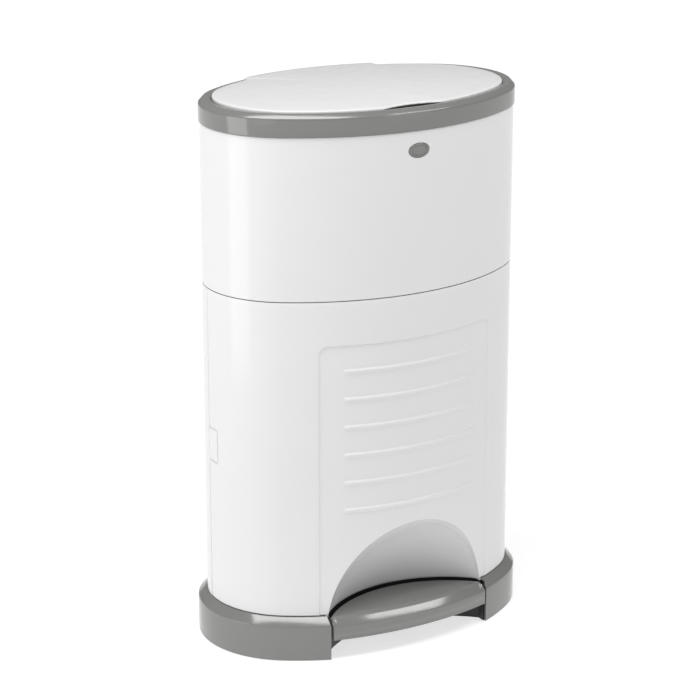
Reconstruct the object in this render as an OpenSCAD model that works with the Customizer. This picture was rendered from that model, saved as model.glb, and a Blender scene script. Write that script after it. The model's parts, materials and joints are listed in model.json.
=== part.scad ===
// Pedal nappy bin: an oval body on a grey plinth, with a tilting upper unit,
// a hinged front door, a pedal, a lid and two throat shutters that open together.
// The front faces -Y, +Z is up, and the origin is on the floor under the middle of the body.

/* [Body] */
// Width of the white body across its rounded ends
body_w = 341; // [330:1:350]
// Depth of the white body from front to back
body_d = 226; // [222:1:232]
// Radius of the body's rounded ends
end_r = 87; // [84:1:92]
// Thickness of the shell walls
wall = 3; // [2.4:0.1:3.4]
// Height of the line between the lower body and the upper unit
split_z = 378.4; // [374:0.2:384]
// Open line between two neighbouring shells
seam = 0.6; // [0.4:0.1:1]
// Place of the upright line between front door and rear shell, behind the middle
seam_y = 14; // [10:1:18]

/* [Base] */
// How far the plinth stands out beyond the body
base_out = 9.5; // [7:0.5:12]
// Height of the plinth, where the white body starts
base_h = 45.6; // [44:0.2:50]
// Height of the sloping shoulder on top of the plinth
base_shoulder = 7.6; // [5:0.2:9]
// Wall of the plinth
base_wall = 3; // [2.4:0.1:4]
// Gap under the plinth, which stands on its feet
foot_lift = 0.8; // [0.5:0.1:1.5]
// Diameter of a rubber foot
foot_d = 20; // [16:1:24]
// Distance between the feet, left to right
foot_gap_x = 260; // [240:1:270]
// Distance between the feet, front to back
foot_gap_y = 90; // [80:1:96]
// Thickness of the floor tray
tray_t = 2.5; // [2:0.1:3]

/* [Pedal] */
// Radius of the hollow over the pedal
dome_r = 129; // [125:1:131]
// Distance of the hollow's centre in front of the body
dome_out = 67.5; // [65:0.5:71]
// Height of the hollow's centre
dome_z = 27; // [25:1:32]
// Wall of the hollow
dome_wall = 2.5; // [2:0.1:3]
// Width of the opening for the pedal in the plinth
bay_w = 190; // [184:1:194]
// Gap at each end of the pedal
pedal_gap = 2.5; // [2:0.1:3.5]
// Gap between the pedal's rear edge and the hollow
pedal_back_gap = 3; // [2:0.1:4]
// Wall of the dark lining round the pedal
lining_t = 1.5; // [1.2:0.1:1.8]
// How far the pedal's front edge stands out before the body
pedal_out = 4.5; // [2:0.5:9]
// Radius of the pedal's front edge
pedal_front_r = 340; // [300:1:380]
// Height of the pedal's lower edge
pedal_low = 22; // [20:0.5:24]
// Height of the pedal's tread
pedal_top = 44; // [42:0.5:45]
// Wall of the pedal
pedal_wall = 3; // [2.4:0.1:3.6]
// Angle that the pedal goes down
pedal_angle = 7.5; // [6:0.5:8]
// Place of the pedal's pivot, behind the middle
pivot_y = 20; // [16:1:24]
// Height of the pedal's pivot
pivot_z = 22; // [21:0.5:24]
// Diameter of the pedal's pivot pin
pivot_d = 5; // [4:0.5:6]
// Width of the pedal lever
lever_w = 36; // [30:1:40]
// Thickness of the pedal lever
lever_t = 6; // [5:0.5:7]

/* [Lift rod] */
// Diameter of the lift rods
rod_d = 6; // [5:0.5:7]
// Distance of the lift rods' middle from the back of the body
rod_in = 15.5; // [15:0.5:17]
// Gap between parts that push on each other
touch_gap = 0.3; // [0.2:0.05:0.4]
// Clearance of a pin in its bore, on the radius
pin_fit = 0.05; // [0.03:0.01:0.08]

/* [Door] */
// Depth of the recessed panel on the door
panel_depth = 1; // [0.6:0.1:1.4]
// Width of the recessed panel
panel_w = 202; // [190:1:208]
// Height of the panel's top edge
panel_top = 333; // [325:1:340]
// Corner radius of the panel
panel_r = 11; // [6:1:16]
// Number of raised ribs
rib_count = 6; // [4:1:7]
// Length of a rib
rib_w = 155; // [140:1:170]
// Height of a rib's face
rib_h = 3.4; // [2.5:0.1:4]
// Height of the lowest rib
rib_low = 158.6; // [150:0.2:164]
// Distance between ribs
rib_step = 29.4; // [26:0.2:31]
// Diameter of the hinge pins of door and upper unit
hinge_pin_d = 3.2; // [3:0.1:3.6]
// Outer radius of the hinge knuckles
knuckle_r = 4; // [3.6:0.1:4.2]
// Height of the side latch tab
tab_h = 34.8; // [30:0.2:40]
// Height of the tab's lower edge
tab_low = 197; // [190:1:204]
// Front edge of the tab, in front of the middle
tab_front = 5.4; // [4:0.2:8]
// Travel of the tab
tab_travel = 3; // [2:0.5:3.5]
// Open line round the tab
tab_line = 0.4; // [0.3:0.1:0.6]
// Gap between a catch and the part that it passes
catch_gap = 0.3; // [0.3:0.1:0.6]

/* [Cassette] */
// Distance of the liner cassette from the back of the body
cassette_in = 28.5; // [28:0.5:33]
// Width of the cassette from its edge to the opening that the liner hangs through
cassette_band = 22.5; // [21:0.5:26]
// Height of the cassette
cassette_h = 43; // [38:1:44]
// Depth of the well in the deck that holds the cassette
well_depth = 55; // [50:1:58]
// Thickness of the deck
deck_t = 3; // [2.5:0.1:4]

/* [Upper unit] */
// How far the grey ring stands out beyond the white shell
ring_out = 1.2; // [0.8:0.1:2]
// Height of the inner edge of the grey ring
ring_top = 566.2; // [564:0.2:568]
// Height of the grey ring, from the white shell to its inner edge
ring_h = 23.2; // [20:0.2:26]
// Thickness of the ring's top web under the lid
web_t = 3.5; // [3:0.1:4.5]
// Distance from the body's end to the lid
rim_side = 13.75; // [12.5:0.25:18]
// Distance from the body's front to the lid
rim_front = 9; // [8:0.5:11]
// Radius of the lid's rounded ends
lid_r = 82.5; // [80:0.5:86]
// Height of the lid's outer edge over the ring
lid_rise = 0.8; // [0.2:0.1:2]
// Thickness of the lid's edge
lid_t = 5.5; // [5:0.1:6]
// Height of the lid's crown above its edge
lid_crown = 3; // [2:0.1:4]
// Open line round the lid
lid_gap = 0.9; // [0.7:0.1:1.2]
// Width of the lid's hinge part at the back
tail_w = 154; // [150:1:158]
// Width of the finger notch in the lid's front edge
notch_w = 74; // [64:1:80]
// Depth of the finger notch
notch_depth = 8; // [6:0.5:9]
// Half width of the square throat below the chute
throat_x = 76; // [75:0.5:78]
// Distance from the body's front to the square throat
throat_in = 49; // [48:0.5:51]
// Height where the chute's funnel ends
funnel_low = 474; // [472:1:480]
// Wall of the chute
chute_t = 2.5; // [2:0.1:3]
// Height of the shutters
shutter_z = 455; // [452:1:458]
// Distance of each shutter's shaft from the middle
shutter_x = 69; // [68:0.5:70]
// Diameter of the shutters' shafts
shaft_d = 6; // [5:0.5:6.5]
// Angle that the shutters open
shutter_angle = 75; // [70:1:80]

/* [Release] */
// Distance of the release button's middle below the grey ring
button_drop = 19.6; // [16:0.2:25]
// Width of the release button
button_w = 23.5; // [20:0.5:26]
// Height of the button's face
button_h = 14; // [12:0.5:16]
// Clearance round the button
button_gap = 0.5; // [0.3:0.1:0.7]
// Travel of the button
button_travel = 3; // [2:0.5:3.5]
// Height of the release lever's pivot
release_z = 450; // [446:1:454]
// Width of the release lever
release_w = 18; // [14:1:20]

/* [Hidden] */
$fn = 64;

// Colours
white = [0.93, 0.93, 0.93];
grey = [0.55, 0.55, 0.54];
dark = [0.10, 0.10, 0.10];
steel = [0.72, 0.73, 0.75];
rubber = [0.16, 0.16, 0.17];
mid_grey = [0.74, 0.75, 0.76];
film_blue = [0.78, 0.86, 0.93];

// Facets of each end arc and each side arc of an oval
end_facets = 24;
side_facets = 24;
far = 400;

// Derived places
gap = seam / 2;
body = [body_w, body_d, end_r];
shell_top = ring_top - ring_h;
dome_y = body_d / 2 + dome_out;
pedal_front = body_d / 2 + pedal_out;
rod_y = body_d / 2 - rod_in;
cassette_r = body_d / 2 - cassette_in;
throat_r = cassette_r - cassette_band;
lid_w = body_w - 2 * rim_side;
lid_d = body_d - 2 * rim_front;
lid_z = ring_top + lid_rise;
throat_y = body_d / 2 - throat_in;
button_z = shell_top - button_drop;
post_x = body_w / 2 - 50.5;
post_y = body_d / 2 - 53;
post_r = 5;
post_bore = 1.5;
lid_oval = [lid_w, lid_d, lid_r];
inner = -wall;
tilt_y = body_d / 2 + 1;
door_axis_x = body_w / 2 + 0.9;
lower_top = split_z - gap;
upper_low = split_z + gap;
web_top = lid_z - lid_t - 1;
web_low = web_top - web_t;
opening_in = 14;
mouth_in = opening_in + 2;
liner_in = mouth_in + 1.2;
flange_in = 4;
flange_t = 3;
ring_screw_in = 8.5;
ring_screw_r = 1.5;
lid_axis_y = rod_y + 7.5;
lid_axis_z = lid_z - 5;
lid_pin_d = 3;
lug_r = 3.2;
tail_sweep = 9.4;
trough_z = lid_axis_z - tail_sweep;
deck_top = lower_top - 1;
well_low = deck_top - well_depth;
well_r = cassette_r + 1.5;
lever_top = pivot_z + lever_t / 2;
dome_foot_r = sqrt(pow(dome_r, 2) - pow(base_h - dome_z, 2));
pedal_back_r = dome_foot_r - pedal_back_gap;
well_back_r = dome_r + lining_t;
swing_r = norm([door_axis_x - seam_x(body, inner, seam_y), gap]) - 1;
rod_reach = rod_y - pivot_y;
rod_rise = rod_reach * sin(pedal_angle);
crank = rod_rise / (2 * sin(shutter_angle / 2));
crank_pin_d = 3;
lug_spans = [[20, 30], [39, 49]];
screw_x = lid_w / 2 - 56.75;
finger_w = notch_w - 4;
finger_y = notch_depth - lid_d / 2 - 0.5;
guide_h = 12;
guide_places = [for (share = [0.2, 0.47, 0.74]) base_h + share * (split_z - base_h)];
bracket_h = 10;
bracket_places = [split_z + 21.6, shell_top - 43];
barrel_r = 4.4;
trough_t = 2;
stem_x = 7;
flap_t = 3;
seal_w = 4;
crank_y = throat_y + chute_t + 3.5;
crank_t = 5;
bar_y = crank_y + crank_t + 1;
bar_t = 6;
bar_h = 10;
crank_pin_x = shutter_x + crank * cos(shutter_angle / 2);
crank_pin_z = shutter_z - crank * sin(shutter_angle / 2);
release_y = -(body_d / 2 - 15);
release_t = 3;
release_low = well_low + well_depth - 11;
release_r = 4.5;
hook_reach = 6.8;
door_stations = [95, 300];
station_h = 24;
knuckle_gap = 0.4;
tilt_stations = [44, 68];

// Oval outline: two end arcs and two side arcs that meet smoothly, moved outwards by grow
function end_x(o) = o[0] / 2 - o[2];
function side_y(o) = (pow(end_x(o), 2) - pow(o[1] / 2 - o[2], 2)) / (o[1] - 2 * o[2]);
function side_r(o) = o[2] + norm([end_x(o), side_y(o)]);
function meet(o) = atan2(side_y(o), end_x(o));
function arc(x, y, r, from, to, steps) =
    [for (i = [0 : steps - 1]) let (t = from + (to - from) * i / steps) [x + r * cos(t), y + r * sin(t)]];
function oval_points(o, grow = 0) = let (m = meet(o), e = end_x(o), c = side_y(o)) concat(
    arc(e, 0, o[2] + grow, -m, m, end_facets),
    arc(0, -c, side_r(o) + grow, m, 180 - m, side_facets),
    arc(-e, 0, o[2] + grow, 180 - m, 180 + m, end_facets),
    arc(0, c, side_r(o) + grow, 180 + m, 360 - m, side_facets));
function ellipse_points(rx, ry, steps = 48) =
    [for (i = [0 : steps - 1]) [rx * cos(360 * i / steps), ry * sin(360 * i / steps)]];
function at_z(points, z) = [for (p = points) [p[0], p[1], z]];
// Depth of an oval's surface at a given x, behind or before the middle
function oval_y(o, grow, x) = sqrt(pow(side_r(o) + grow, 2) - x * x) - side_y(o);
// Half width of an oval's end at a given y
function oval_x(o, grow, y) = end_x(o) + sqrt(pow(o[2] + grow, 2) - y * y);
function seam_x(o, grow, y) = -oval_x(o, grow, y);

// Upright wall or block with the outline of an oval
module oval_block(o, z0, z1, grow = 0) {
    translate([0, 0, z0]) linear_extrude(z1 - z0) polygon(oval_points(o, grow));
}

module oval_wall(o, z0, z1, outer, inner_grow) {
    translate([0, 0, z0]) linear_extrude(z1 - z0) difference() {
        polygon(oval_points(o, outer));
        polygon(oval_points(o, inner_grow));
    }
}

// Solid stacked from rings of points, closed by its first and last ring
module stacked(rings) {
    n = len(rings[0]);
    points = [for (ring = rings) each ring];
    sides = [for (k = [0 : len(rings) - 2], i = [0 : n - 1])
        [k * n + i, (k + 1) * n + i, (k + 1) * n + (i + 1) % n, k * n + (i + 1) % n]];
    low = [for (i = [0 : n - 1]) i];
    high = [for (i = [n - 1 : -1 : 0]) (len(rings) - 1) * n + i];
    polyhedron(points = points, faces = concat(sides, [low, high]));
}

// Oval solid whose outline grows with height: profile is a list of [grow, z]
module oval_stack(o, profile) {
    stacked([for (p = profile) at_z(oval_points(o, p[0]), p[1])]);
}

// Box from its lowest to its highest corner
module span(low, high) {
    translate(low) cube(high - low);
}

module rod_x(x0, x1, y, z, r) {
    translate([x0, y, z]) rotate([0, 90, 0]) cylinder(h = x1 - x0, r = r);
}

module rod_y_way(y0, y1, x, z, r) {
    translate([x, y0, z]) rotate([-90, 0, 0]) cylinder(h = y1 - y0, r = r);
}

module mirrored_x() {
    children();
    mirror([1, 0, 0]) children();
}

// Plan of the opening for the pedal: a straight-sided bay with a round back
module bay_plan(half_w, back_r) {
    intersection() {
        translate([0, -dome_y]) circle(r = back_r, $fn = 128);
        translate([-half_w, -far]) square([2 * half_w, far]);
    }
}

// Base

module base_plinth() {
    floor_z = foot_lift + base_wall;
    shoulder_z = base_h - base_shoulder;
    color(grey) {
        difference() {
            oval_stack(body, [
                [base_out, foot_lift], [base_out, shoulder_z - 1], [base_out - 0.4, shoulder_z + 0.6],
                [base_out - 1.4, shoulder_z + 1.6], [1.2, base_h]]);
            oval_block(body, floor_z, shoulder_z - 1, base_out - base_wall);
            oval_block(body, shoulder_z - 2, base_h + 1, inner - 3);
            translate([0, 0, -1]) linear_extrude(base_h + 2)
                bay_plan(bay_w / 2, well_back_r);
            feet(foot_lift - 1, base_wall);
        }
        // Brackets of the pedal's pivot and posts under the tray
        difference() {
            mirrored_x() span([lever_w / 2 + 0.5 + 9, pivot_y - 8, floor_z],
                [lever_w / 2 + 0.5 + 15, pivot_y + 8, pivot_z + 8]);
            rod_x(-far, far, pivot_y, pivot_z, pivot_d / 2 + pin_fit);
        }
        tray_posts(floor_z, base_h, post_r);
    }
}

module tray_posts(z0, z1, r) {
    for (x = [-post_x, post_x], y = [-post_y, post_y])
        difference() {
            translate([x, y, z0]) cylinder(h = z1 - z0, r = r);
            translate([x, y, z1 - 12]) cylinder(h = 13, r = post_bore);
        }
}

module feet(z0, z1) {
    for (x = [-foot_gap_x / 2, foot_gap_x / 2], y = [-foot_gap_y / 2, foot_gap_y / 2])
        translate([x, y, z0]) cylinder(h = z1 - z0, r = foot_d / 2);
}

module rubber_feet() {
    color(rubber) feet(0, base_wall);
}

// Plate inside the lower body, clear of the door at rest and as it swings
module inside_plate(z0, z1) {
    intersection() {
        oval_block(body, z0, z1, inner);
        span([-far, seam_y + gap, z0], [far, far, z1]);
    }
    intersection() {
        oval_block(body, z0, z1, inner - 1);
        span([-far, -far, z0], [far, seam_y + gap + 1, z1]);
        translate([door_axis_x, seam_y, z0]) cylinder(h = z1 - z0, r = swing_r, $fn = 192);
    }
}

module floor_tray() {
    color(mid_grey) difference() {
        inside_plate(base_h, base_h + tray_t);
        translate([0, 0, base_h - 1]) linear_extrude(tray_t + 2)
            bay_plan(far, dome_r + dome_wall + 2);
        for (x = [-post_x, post_x], y = [-post_y, post_y])
            translate([x, y, base_h - 1]) cylinder(h = tray_t + 2, r = post_bore + 0.5);
        translate([0, rod_y, base_h - 1]) cylinder(h = tray_t + 2, r = rod_d / 2 + 0.5);
    }
}

module base_screws() {
    color(steel) for (x = [-post_x, post_x], y = [-post_y, post_y]) {
        translate([x, y, base_h + tray_t]) cylinder(h = 1.8, r = 3.6);
        translate([x, y, base_h - 9]) cylinder(h = 9 + tray_t, r = post_bore);
    }
}

// Dark lining of the pedal bay, with a window for the pedal lever
module pedal_well() {
    low = foot_lift;
    high = base_h - 0.5;
    color(dark) difference() {
        translate([0, 0, low]) linear_extrude(high - low) intersection() {
            difference() {
                bay_plan(bay_w / 2, well_back_r);
                bay_plan(bay_w / 2 - lining_t, well_back_r - lining_t);
            }
            polygon(oval_points(body, base_out - 3));
        }
        span([-lever_w / 2 - 1.5, -dome_y, pivot_z - 16], [lever_w / 2 + 1.5, 0, lever_top + 5]);
    }
}

module pedal_pivot_pin() {
    half = lever_w / 2 + 15.5;
    color(steel) rod_x(-half, half, pivot_y, pivot_z, pivot_d / 2);
}

// Torsion spring beside the lever's hub, with its fixed leg on the plinth floor
module pedal_spring() {
    x0 = lever_w / 2 + 1;
    color(steel) difference() {
        union() {
            rod_x(x0, x0 + 8, pivot_y, pivot_z, pivot_d / 2 + 3);
            translate([x0 + 1, pivot_y + pivot_d / 2 + 2, foot_lift + base_wall])
                cylinder(h = pivot_z - foot_lift - base_wall, r = 0.9);
        }
        rod_x(x0 - 1, x0 + 9, pivot_y, pivot_z, pivot_d / 2 + 1);
    }
}

// Pedal

module pedal_plan(shrink) {
    intersection() {
        bay_plan(bay_w / 2 - pedal_gap - shrink, pedal_back_r - shrink);
        translate([0, pedal_front_r - pedal_front]) circle(r = pedal_front_r - shrink, $fn = 192);
    }
}

// Raised grip line on the tread, along an arc
module grip_line(front, r, half_w) {
    intersection() {
        translate([0, r - front, pedal_top - 0.5]) difference() {
            cylinder(h = 1.3, r = r, $fn = 192);
            translate([0, 0, -1]) cylinder(h = 4, r = r - 1.8, $fn = 192);
        }
        span([-half_w, -front - 1, pedal_low], [half_w, 0, pedal_top + 5]);
    }
}

module pedal() {
    edge = 4;
    color(grey) {
        difference() {
            translate([0, 0, pedal_low]) linear_extrude(pedal_top - pedal_low) pedal_plan(0);
            translate([0, 0, pedal_low - 1]) linear_extrude(pedal_top - pedal_low + 1 - pedal_wall)
                pedal_plan(pedal_wall);
            // Sloping front edge of the tread
            translate([0, pedal_front_r - pedal_front, pedal_top - edge]) difference() {
                cylinder(h = edge + 1, r = pedal_front_r + 5, $fn = 192);
                translate([0, 0, -0.001])
                    cylinder(h = edge + 0.002, r1 = pedal_front_r, r2 = pedal_front_r - edge * 1.4, $fn = 192);
            }
            // The lever passes under the rear wall
            span([-lever_w / 2 - touch_gap, -pedal_front + 30, pedal_low - 1], [lever_w / 2 + touch_gap, 0, lever_top]);
        }
        grip_line(pedal_front - 27, 244, 60);
        grip_line(pedal_front - 12.5, 180, 72);
        // Sockets that sit on the lever
        mirrored_x() span([lever_w / 2 - 8, -pedal_front + 22, lever_top],
            [lever_w / 2 - 4, -pedal_front + 50, pedal_top - pedal_wall + 0.5]);
    }
}

module pedal_lever() {
    color(dark) difference() {
        union() {
            span([-lever_w / 2, -pedal_front + 20, pivot_z - lever_t / 2], [lever_w / 2, rod_y + 8, lever_top]);
            rod_x(-lever_w / 2, lever_w / 2, pivot_y, pivot_z, pivot_d / 2 + 4.5);
        }
        rod_x(-lever_w, lever_w, pivot_y, pivot_z, pivot_d / 2 + pin_fit);
    }
}

// Lift rods

module lower_lift_rod() {
    low = lever_top + touch_gap;
    color(steel) {
        translate([0, rod_y, low + rod_d / 2]) sphere(r = rod_d / 2);
        translate([0, rod_y, low + rod_d / 2]) cylinder(h = split_z - touch_gap / 2 - low - rod_d / 2, r = rod_d / 2);
    }
}

module rod_guides() {
    color(mid_grey) for (z = guide_places)
        difference() {
            intersection() {
                span([-12, rod_y - 8, z], [12, far, z + guide_h]);
                oval_block(body, z - 1, z + guide_h + 1, inner);
            }
            translate([0, rod_y, z - 1]) cylinder(h = guide_h + 2, r = rod_d / 2 + pin_fit);
        }
}

module rod_cover() {
    low = base_h + tray_t;
    high = well_low - 1;
    color(mid_grey) intersection() {
        difference() {
            span([-14, rod_y - 10, low], [14, far, high]);
            span([-12, rod_y - 8, low - 1], [12, far + 1, high + 1]);
        }
        oval_block(body, low, high, inner);
    }
}

// Hinge knuckle along Z with its web to the wall; web goes to the side that way points
module door_knuckle(z0, z1, way) {
    reach = 7;
    translate([door_axis_x, seam_y, z0]) cylinder(h = z1 - z0, r = knuckle_r);
    span([door_axis_x - knuckle_r - 1, min(seam_y, seam_y + way * reach), z0],
        [door_axis_x + 0.4, max(seam_y, seam_y + way * reach), z1]);
}

module door_pin_bore() {
    translate([door_axis_x, seam_y, base_h]) cylinder(h = far, r = hinge_pin_d / 2 + pin_fit);
}

module door_hinge_pins() {
    color(steel) for (z = door_stations)
        translate([door_axis_x, seam_y, z]) cylinder(h = station_h, r = hinge_pin_d / 2);
}

// Knuckle along X for the tilting upper unit; side is -1 below the split line and 1 above it
module tilt_knuckle(x0, x1, side) {
    reach = 8;
    rod_x(x0, x1, tilt_y, split_z, knuckle_r);
    low = side < 0 ? split_z - reach : split_z + gap;
    high = side < 0 ? split_z - gap : split_z + reach;
    span([x0, oval_y(body, -1.5, x0), low], [x1, tilt_y, high]);
}

module tilt_pin_bore() {
    rod_x(-far, far, tilt_y, split_z, hinge_pin_d / 2 + pin_fit);
}

module tilt_hinge_pins() {
    color(steel) mirrored_x()
        rod_x(tilt_stations[0], tilt_stations[1], tilt_y, split_z, hinge_pin_d / 2);
}

// Lower body

module rear_shell() {
    third = station_h / 3;
    color(white) difference() {
        union() {
            intersection() {
                oval_wall(body, base_h, lower_top, 0, inner);
                span([-far, seam_y + gap, 0], [far, far, far * 2]);
            }
            for (z = door_stations) {
                door_knuckle(z, z + third - knuckle_gap / 2, 1);
                door_knuckle(z + 2 * third + knuckle_gap / 2, z + station_h, 1);
            }
            mirrored_x() {
                tilt_knuckle(tilt_stations[0], tilt_stations[0] + third - knuckle_gap / 2, -1);
                tilt_knuckle(tilt_stations[0] + 2 * third + knuckle_gap / 2, tilt_stations[1], -1);
            }
        }
        door_pin_bore();
        tilt_pin_bore();
        // Room for the door's own knuckles
        for (z = door_stations)
            translate([door_axis_x, seam_y, z + third - knuckle_gap / 2])
                cylinder(h = third + knuckle_gap, r = knuckle_r + 0.5);
    }
}

module dome_ball(r) {
    translate([0, -dome_y, dome_z]) sphere(r = r, $fn = 128);
}

module panel_block(y0, y1) {
    half = panel_w / 2;
    translate([0, y1, 0]) rotate([90, 0, 0]) linear_extrude(y1 - y0) {
        translate([-half, 0]) square([2 * half, panel_top - panel_r]);
        translate([-half + panel_r, 0]) square([2 * half - 2 * panel_r, panel_top]);
        for (x = [-half + panel_r, half - panel_r])
            translate([x, panel_top - panel_r]) circle(r = panel_r);
    }
}

module front_door() {
    low = base_h + gap;
    high = lower_top;
    third = station_h / 3;
    color(white) difference() {
        union() {
            difference() {
                intersection() {
                    union() {
                        oval_wall(body, low, high, 0, inner);
                        // Hollow over the pedal
                        intersection() {
                            dome_ball(dome_r + dome_wall);
                            oval_block(body, low, high, inner / 2);
                        }
                    }
                    span([-far, -far, 0], [far, seam_y - gap, 2 * far]);
                }
                dome_ball(dome_r);
                // Recessed front panel
                intersection() {
                    oval_wall(body, low - 1, high, 2, -panel_depth);
                    panel_block(-far, -body_d / 4);
                }
            }
            // Raised ribs
            for (i = [0 : rib_count - 1])
                intersection() {
                    oval_wall(body, rib_low + i * rib_step - rib_h / 2, rib_low + i * rib_step + rib_h / 2,
                        0.2, -panel_depth - 0.5);
                    span([-rib_w / 2, -far, 0], [rib_w / 2, -body_d / 4, 2 * far]);
                }
            for (z = door_stations)
                door_knuckle(z + third + knuckle_gap / 2, z + 2 * third - knuckle_gap / 2, -1);
        }
        door_pin_bore();
        // Room for the rear shell's knuckles
        for (z = door_stations, k = [0, 2])
            translate([door_axis_x, seam_y, z + k * third - knuckle_gap / 2])
                cylinder(h = third + knuckle_gap, r = knuckle_r + 0.5);
        // Opening for the latch tab
        span([-far, -tab_front, tab_low], [-body_w / 3, far, tab_low + tab_h]);
    }
}

module door_latch() {
    half = tab_h / 2;
    mid = tab_low + half;
    wall_x = -oval_x(body, inner, 4);
    color(white) {
        intersection() {
            oval_wall(body, tab_low + tab_line, tab_low + tab_h - tab_line, 0, inner);
            span([-far, -tab_front + tab_line, 0], [-body_w / 3, seam_y - gap, far]);
        }
        span([wall_x - 1, -1, mid - 8], [wall_x + stem_x, 9, mid + 8]);
        // Arm that reaches past the strike on the rear shell
        span([wall_x + stem_x - 3.5, 8, mid - 5], [wall_x + stem_x, seam_y + 6, mid + 5]);
    }
}

// Strike on the rear shell that the latch's arm passes
module latch_strike() {
    mid = tab_low + tab_h / 2;
    wall_x = -oval_x(body, inner, 4);
    color(white) intersection() {
        span([-far, seam_y + 2, mid - 7], [wall_x + stem_x - 3.5 - catch_gap, seam_y + 5, mid + 7]);
        oval_block(body, 0, far, inner);
    }
}

module latch_housing() {
    half = tab_h / 2;
    mid = tab_low + half;
    wall_x = -oval_x(body, inner, 4);
    color(mid_grey) intersection() {
        difference() {
            span([-far, -4, mid - half - 4], [wall_x + stem_x + 8, 12, mid + half + 4]);
            span([-far, -1 - tab_line, mid - 8 - tab_line], [wall_x + stem_x + 6, 9 + tab_line, mid + 8 + tab_line]);
            span([-far, 8, mid - 5 - tab_line], [wall_x + stem_x + tab_travel + tab_line, far, mid + 5 + tab_line]);
            span([-far, -tab_front - 1, mid - half], [wall_x + tab_travel + 1.5, far, mid + half]);
        }
        oval_block(body, 0, far, inner);
    }
}

module latch_spring() {
    mid = tab_low + tab_h / 2;
    wall_x = -oval_x(body, inner, 4);
    color(steel) difference() {
        rod_x(wall_x + stem_x + tab_travel + catch_gap, wall_x + stem_x + 6, 4, mid, 4);
        rod_x(wall_x + stem_x, wall_x + stem_x + 7, 4, mid, 3);
    }
}

// Cassette and deck

module cassette_deck() {
    color(mid_grey) difference() {
        union() {
            inside_plate(deck_top - deck_t, deck_top);
            translate([0, 0, well_low]) cylinder(h = well_depth, r = well_r + 2.5, $fn = 96);
            // Runners that carry the deck on the rear shell
            mirrored_x() intersection() {
                span([well_r - 6, seam_y + 6, well_low + 20], [far, seam_y + 10, deck_top - 1]);
                oval_block(body, well_low, deck_top, inner);
            }
        }
        translate([0, 0, well_low + deck_t]) cylinder(h = far, r = well_r, $fn = 96);
        translate([0, 0, well_low - 1]) cylinder(h = far, r = throat_r, $fn = 96);
        translate([0, rod_y, well_low - 1]) cylinder(h = far, r = rod_d / 2 + 0.5);
        // Straight front edge, which is the release hook's catch
        span([-far, -far, well_low - 1], [far, release_y + hook_reach + 0.4, deck_top + 1]);
    }
}

cassette_low = well_low + deck_t;
cassette_wall = 2.2;

module cassette_body() {
    inner_r = throat_r + 2;
    color(mid_grey) translate([0, 0, cassette_low]) difference() {
        cylinder(h = cassette_h - 3, r = cassette_r, $fn = 96);
        translate([0, 0, -1]) cylinder(h = cassette_h, r = inner_r, $fn = 96);
        translate([0, 0, cassette_wall]) difference() {
            cylinder(h = cassette_h, r = cassette_r - cassette_wall, $fn = 96);
            translate([0, 0, -1]) cylinder(h = cassette_h - 8, r = inner_r + cassette_wall, $fn = 96);
        }
    }
}

module liner_film() {
    color(film_blue) translate([0, 0, cassette_low + cassette_wall]) difference() {
        cylinder(h = cassette_h - 10, r = cassette_r - cassette_wall - 0.5, $fn = 96);
        translate([0, 0, -1]) cylinder(h = cassette_h, r = throat_r + 2 + cassette_wall + 0.5, $fn = 96);
    }
}

module cassette_cap() {
    color(mid_grey) translate([0, 0, cassette_low + cassette_h - 3]) difference() {
        cylinder(h = 3, r = cassette_r, $fn = 96);
        translate([0, 0, -1]) cylinder(h = 5, r = throat_r + 8, $fn = 96);
    }
}

// Cutter for the liner, under the front of the well
module cutter_housing() {
    front = throat_r + 22;
    color(grey) difference() {
        span([-22, -front, well_low - 16], [22, -throat_r - 6, well_low]);
        span([-14, -front - 1, well_low - 17], [14, -throat_r - 14, well_low - 6]);
        span([-1, -front - 1, well_low - 17], [1, -throat_r - 5, well_low - 5]);
    }
}

module cutter_blade() {
    color(steel) span([-8, -throat_r - 14 - 0.6, well_low - 12], [8, -throat_r - 14, well_low - 6]);
}

// Upper unit

module button_plan(grow) {
    polygon(ellipse_points(button_w / 2 + grow, button_h / 2 + grow));
}

module button_way(y0, y1, grow) {
    translate([0, y1, button_z]) rotate([90, 0, 0]) linear_extrude(y1 - y0) button_plan(grow);
}

module upper_shell() {
    third = station_h / 3;
    lug = release_w / 2 + 0.5;
    color(white) difference() {
        union() {
            oval_wall(body, upper_low, shell_top, 0, inner);
            mirrored_x() {
                tilt_knuckle(tilt_stations[0] + third + knuckle_gap / 2,
                    tilt_stations[0] + 2 * third - knuckle_gap / 2, 1);
                // Lugs of the release lever's pivot
                intersection() {
                    span([lug, -far, release_z - 7], [lug + 4, release_y + 7, release_z + 7]);
                    oval_block(body, upper_low, shell_top, inner / 2);
                }
            }
        }
        tilt_pin_bore();
        rod_x(-lug - 5, lug + 5, release_y, release_z, 2 + pin_fit);
        button_way(-far, 0, button_gap);
    }
}

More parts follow.
